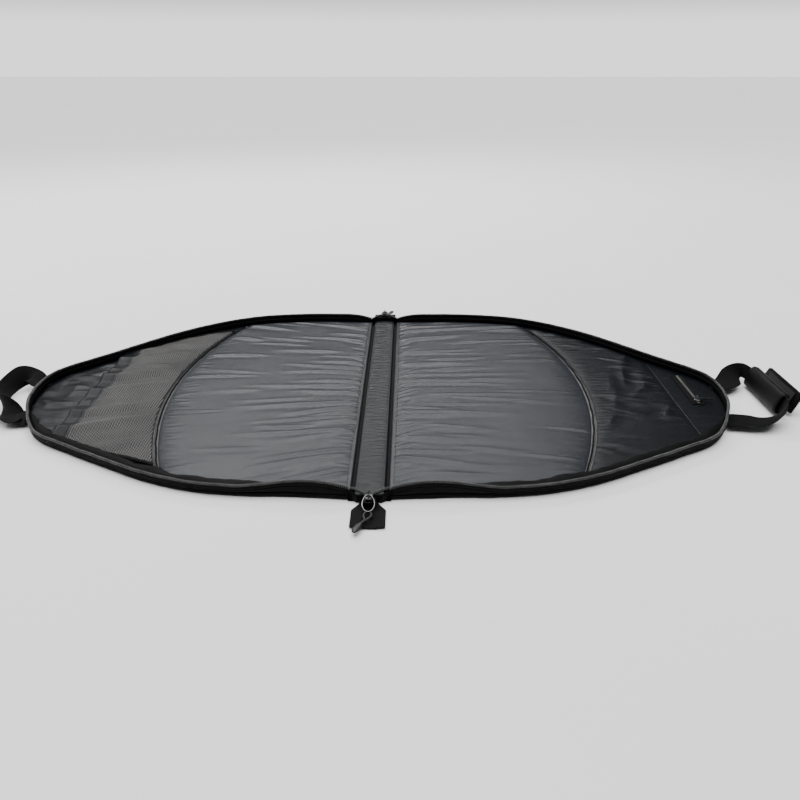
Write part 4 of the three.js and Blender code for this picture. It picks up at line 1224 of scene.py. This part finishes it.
def grip():
    """The padded sleeve, a C in section that opens towards the tip, and its outer flap."""
    y = GRIP_BACK - np.linspace(0, GRIP_LENGTH, 80)
    share = np.linspace(0, 1, 80)
    arc = np.linspace(math.radians(52), math.radians(308), 40)
    outer_w, outer_d, inner_w, inner_d = 16.2, 8.2, 12.1, 4.2

    def rounded(angle, wide, deep, square=0.62):
        c, s = np.cos(angle), np.sin(angle)
        return np.stack([np.sign(c) * np.abs(c) ** square * deep,
                         np.sign(s) * np.abs(s) ** square * wide], -1)

    ends = np.minimum(share, 1 - share) * GRIP_LENGTH
    plump = np.clip(ends / 5, 0.02, 1) ** 0.4
    creased = 0.35 * wobble(y, 17, 161)
    outer, inner = rounded(arc, outer_w, outer_d), rounded(arc[::-1], inner_w, inner_d)
    middle_outer = (outer + inner[::-1]) / 2
    sections = []
    for k in range(80):
        fat = plump[k]
        a = middle_outer + (outer - middle_outer) * fat * (1 + 0.06 * creased[k])
        b = middle_outer[::-1] + (inner - middle_outer[::-1]) * fat
        ring = np.vstack([a, b])
        ripple = 0.22 * np.sin(7 * np.arctan2(ring[:, 1], ring[:, 0]) + y[k] / 9)
        ring = ring * (1 + 0.02 * ripple[:, None])
        sections.append(np.column_stack([ring[:, 0], np.full(len(ring), y[k]), ring[:, 1]]))
    sections = grip_frame(np.stack(sections), GRIP_X, GRIP_Z, TILT)
    sleeve = new_mesh("grip_wrap", *tubes([(sections, False)]), NEOPRENE)
    settle(sleeve, "right_handle", "grip_cloth", "grip_sleeve")

    tall, thick, lean = 31, 4, math.radians(24)
    up, along = mesh_grid(30, 90)
    z = 2 + (tall - 2) * up
    yy = FLAP_BACK - FLAP_LENGTH * along
    near_edge = np.minimum(np.minimum(up, 1 - up) * (tall - 2),
                           np.minimum(along, 1 - along) * FLAP_LENGTH)
    swell = 1 - np.exp(-near_edge / 3)
    face = thick - 0.4 + 1.0 * swell + 0.4 * wobble(yy + 2 * z, 24, 171) * swell
    top = grip_frame(np.dstack([face, yy, z]), FLAP_X, FLAP_Z, lean)
    low = grip_frame(np.dstack([0.3 + 0 * face, yy, z]), FLAP_X, FLAP_Z, lean)
    flap = two_sided("grip_flap_pad", top, low, NEOPRENE)
    settle(flap, "grip_outer_flap", "grip_cloth", "grip_flap")
    ahead = FLAP_BACK - FLAP_LENGTH
    border = [(2.2, FLAP_BACK, 2.4), (2.2, FLAP_BACK, tall - 4), (2.2, FLAP_BACK - 3, tall - 0.6),
              (2.2, ahead + 3, tall - 0.6), (2.2, ahead, tall - 4), (2.2, ahead, 2.4)]
    path = even(grip_frame(np.array(border, float), FLAP_X, FLAP_Z, lean), 200)
    ribs = 2.1 + 0.28 * np.sin(np.arange(200) * 2 * np.pi / 4)
    points, faces = tubes([(round_sections(path, ribs, 10, up=(1, 0, 0.4)), False)])
    binding = new_mesh("grip_flap_binding", points, faces, BINDING)
    settle(binding, "grip_outer_flap", "binding_tape")


def two_sided(name, top, low, mat):
    """A closed piece between two like grids."""
    n, m = top.shape[:2]
    base = slab(name, top, np.zeros((n, m)), mat)
    co = np.empty(len(base.data.vertices) * 3)
    base.data.vertices.foreach_get("co", co)
    co = co.reshape(-1, 3)
    co[n * m:] = low.reshape(-1, 3) * MM
    base.data.vertices.foreach_set("co", co.ravel())
    work = bmesh.new()
    work.from_mesh(base.data)
    bmesh.ops.recalc_face_normals(work, faces=work.faces)
    work.to_mesh(base.data)
    work.free()
    return base


def handles():
    handle(-1, "left", LEFT_LOOP, 150, "handle_web_left")
    handle(1, "right", RIGHT_LOOP, 260, "handle_web_right")
    grip()


# ---- The zipped pocket ----

def zipped_pocket():
    low, high = box_mm("pocket_zip_tape")
    across, along = mesh_grid(36, 180)
    x = low[0] + (high[0] - low[0]) * across
    y = low[1] + (high[1] - low[1]) * along
    rim_ridge = 0.7 * np.exp(-(np.minimum(across, 1 - across) * 17 - 1.2) ** 2 / 1.2)
    gap = -0.25 * np.exp(-((across - 0.5) * 17 / 4) ** 2)
    z = high[2] + rim_ridge + gap + 0.12 * wobble(y, 16, 181)
    tape = slab("pocket_tape", np.dstack([x, y, z]), low[2], TAPE)
    settle(tape, "right_half", "binding_tape", "pocket_zip_tape")
    for k, column in enumerate((3, -4)):
        line = np.column_stack([x[column], y[column], z[column]])
        stitches(f"pocket_stitches_{k + 1}", line[3:-3], (0, 0, 1), "right_half", pitch=3.2)

    low, high = box_mm("pocket_zip_coil")
    middle = (low + high) / 2
    runs = []
    for s in (-1, 1):
        yy = np.linspace(low[1], high[1], 200)
        path = np.column_stack([np.full(200, middle[0] + s * 0.95), yy, np.full(200, middle[2] - 0.05)])
        side = np.broadcast_to((1.0, 0, 0), path.shape)
        up = np.broadcast_to((0, 0, 1.0), path.shape)
        runs.append((coil_points(path, side, up, 1.3, 8, 0.3, 1.0, 0.42), False))
    coil = new_mesh("pocket_coil", *tubes(runs), COIL_NYLON_PAINTED_GLINT, turn=False)
    settle(coil, "right_half", "zip_coil", "pocket_zip_coil")

    low, high = box_mm("pocket_slider")
    cx, y0, y1 = (low[0] + high[0]) / 2, low[1], high[1]
    length = y1 - y0
    right = [(0, 0), (2.9, 0.3), (4.2, 2.2), (4.0, 6.5), (3.0, length - 0.6), (1.4, length)]
    outline = smooth_outline(right + [(-a, b) for a, b in right[::-1][:-1]][:-1], 40)
    roof = high[2] - 4.8
    runs = [(bevelled_plate(outline, roof, roof + 1.6, 0.45), False)]
    for s in (-1, 1):
        path = np.array([(s * 3.6, b, roof - 0.4) for b in (2.4, 4.5, 6.5, 8.5)], float)
        path[:, 0] -= s * np.array([0, 0.05, 0.3, 0.7])
        runs.append((round_sections(path, 0.7, 8), False))
    bridge = catmull([(0, 1.8, roof + 1.2), (0, 1.8, roof + 3.4), (0, 3.4, roof + 4.4),
                      (0, length - 3.4, roof + 4.4), (0, length - 1.8, roof + 3.4),
                      (0, length - 1.8, roof + 1.2)], 24)
    runs.append((round_sections(bridge, 0.95, 10, up=(1, 0, 0), flat=0.5), False))
    points, faces = tubes(runs)
    points[:, 0] += cx
    points[:, 1] += y0
    piece = sharpen(new_mesh("pocket_zip_slider", points, faces, METAL), 50)
    settle(piece, "pocket_runner", "zip_metal", "pocket_slider")

    low, high = box_mm("pocket_pull")
    cy = (low[1] + high[1]) / 2
    reach = high[0] - low[0]
    turn = np.linspace(0, 2 * np.pi, 64, endpoint=False)
    outer_x = reach / 2 * np.sign(np.cos(turn)) * np.abs(np.cos(turn)) ** 0.5
    outer_y = (2.2 + 0.8 * (np.cos(turn) > -0.5)) * np.sign(np.sin(turn)) * np.abs(np.sin(turn)) ** 0.55
    tab_hole = np.column_stack([reach / 2 - 4 + 1.9 * np.cos(turn), 1.5 * np.sin(turn)])
    outer = np.column_stack([outer_x, outer_y])
    rings = []
    for ring, z in ((outer * 0.985, low[2]), (outer, low[2] + 0.35), (outer, high[2] - 0.35),
                    (outer * 0.985, high[2]), (tab_hole, high[2]), (tab_hole, low[2])):
        rings.append(np.column_stack([ring, np.full(64, z)]))
    sections = np.stack(rings) + ((low[0] + high[0]) / 2, cy, 0)
    tab = sharpen(new_mesh("pocket_pull_tab", *tubes([(sections, True)]), METAL), 40)
    settle(tab, "pocket_tab", "zip_metal", "pocket_pull")


# ---- Floor and light ----

def studio():
    bpy.ops.mesh.primitive_plane_add(size=30, location=(0, 0, -0.0004))
    floor = bpy.context.object
    floor.name = "floor"
    mat, tree, principled = shader("floor_paper", 0.9)
    tone = ramp(tree, noise(tree, coordinates(tree), 3.0), (0.3, (0.92, 0.92, 0.92)),
                (0.7, (0.94, 0.94, 0.94)))
    tree.links.new(tone, principled.inputs["Base Color"])
    floor.data.materials.append(mat)
    world = bpy.data.worlds.new("studio")
    world.use_nodes = True
    tree = world.node_tree
    place = node(tree, "ShaderNodeTexCoord").outputs["Generated"]
    height = node(tree, "ShaderNodeSeparateXYZ", {0: place}).outputs["Z"]
    pale, dim = (1, 1, 1), (0.045, 0.047, 0.05)
    tree.links.new(ramp(tree, height, (0.03, pale), (0.1, dim), (1.0, dim)),
                   tree.nodes["Background"].inputs["Color"])
    tree.nodes["Background"].inputs["Strength"].default_value = 1.6
    bpy.context.scene.world = world
    sky = bpy.data.lights.new("sky", "SUN")
    sky.energy = 4.3
    sky.angle = math.radians(70)
    lamp = bpy.data.objects.new("sky", sky)
    lamp.location = (0, 0, 3)
    bpy.context.collection.objects.link(lamp)
    for name, place, size, power, target in (
        ("soft_back", (-0.5, 2.1, 1.75), (2.4, 0.5), 36, (0, 0.1, 0)),
        ("soft_left", (-2.4, 0.3, 1.0), (0.8, 0.8), 16, (0, 0, 0)),
    ):
        data = bpy.data.lights.new(name, "AREA")
        data.shape = "RECTANGLE"
        data.size, data.size_y = size
        data.energy = power
        lamp = bpy.data.objects.new(name, data)
        lamp.location = place
        lamp.rotation_euler = (Vector(target) - Vector(place)).to_track_quat("-Z", "Y").to_euler()
        bpy.context.collection.objects.link(lamp)


linings()
mesh_pocket()
shells()
spine_parts()
rims()
for sign, end in ENDS:
    spine_end(sign, end)
handles()
zipped_pocket()
studio()
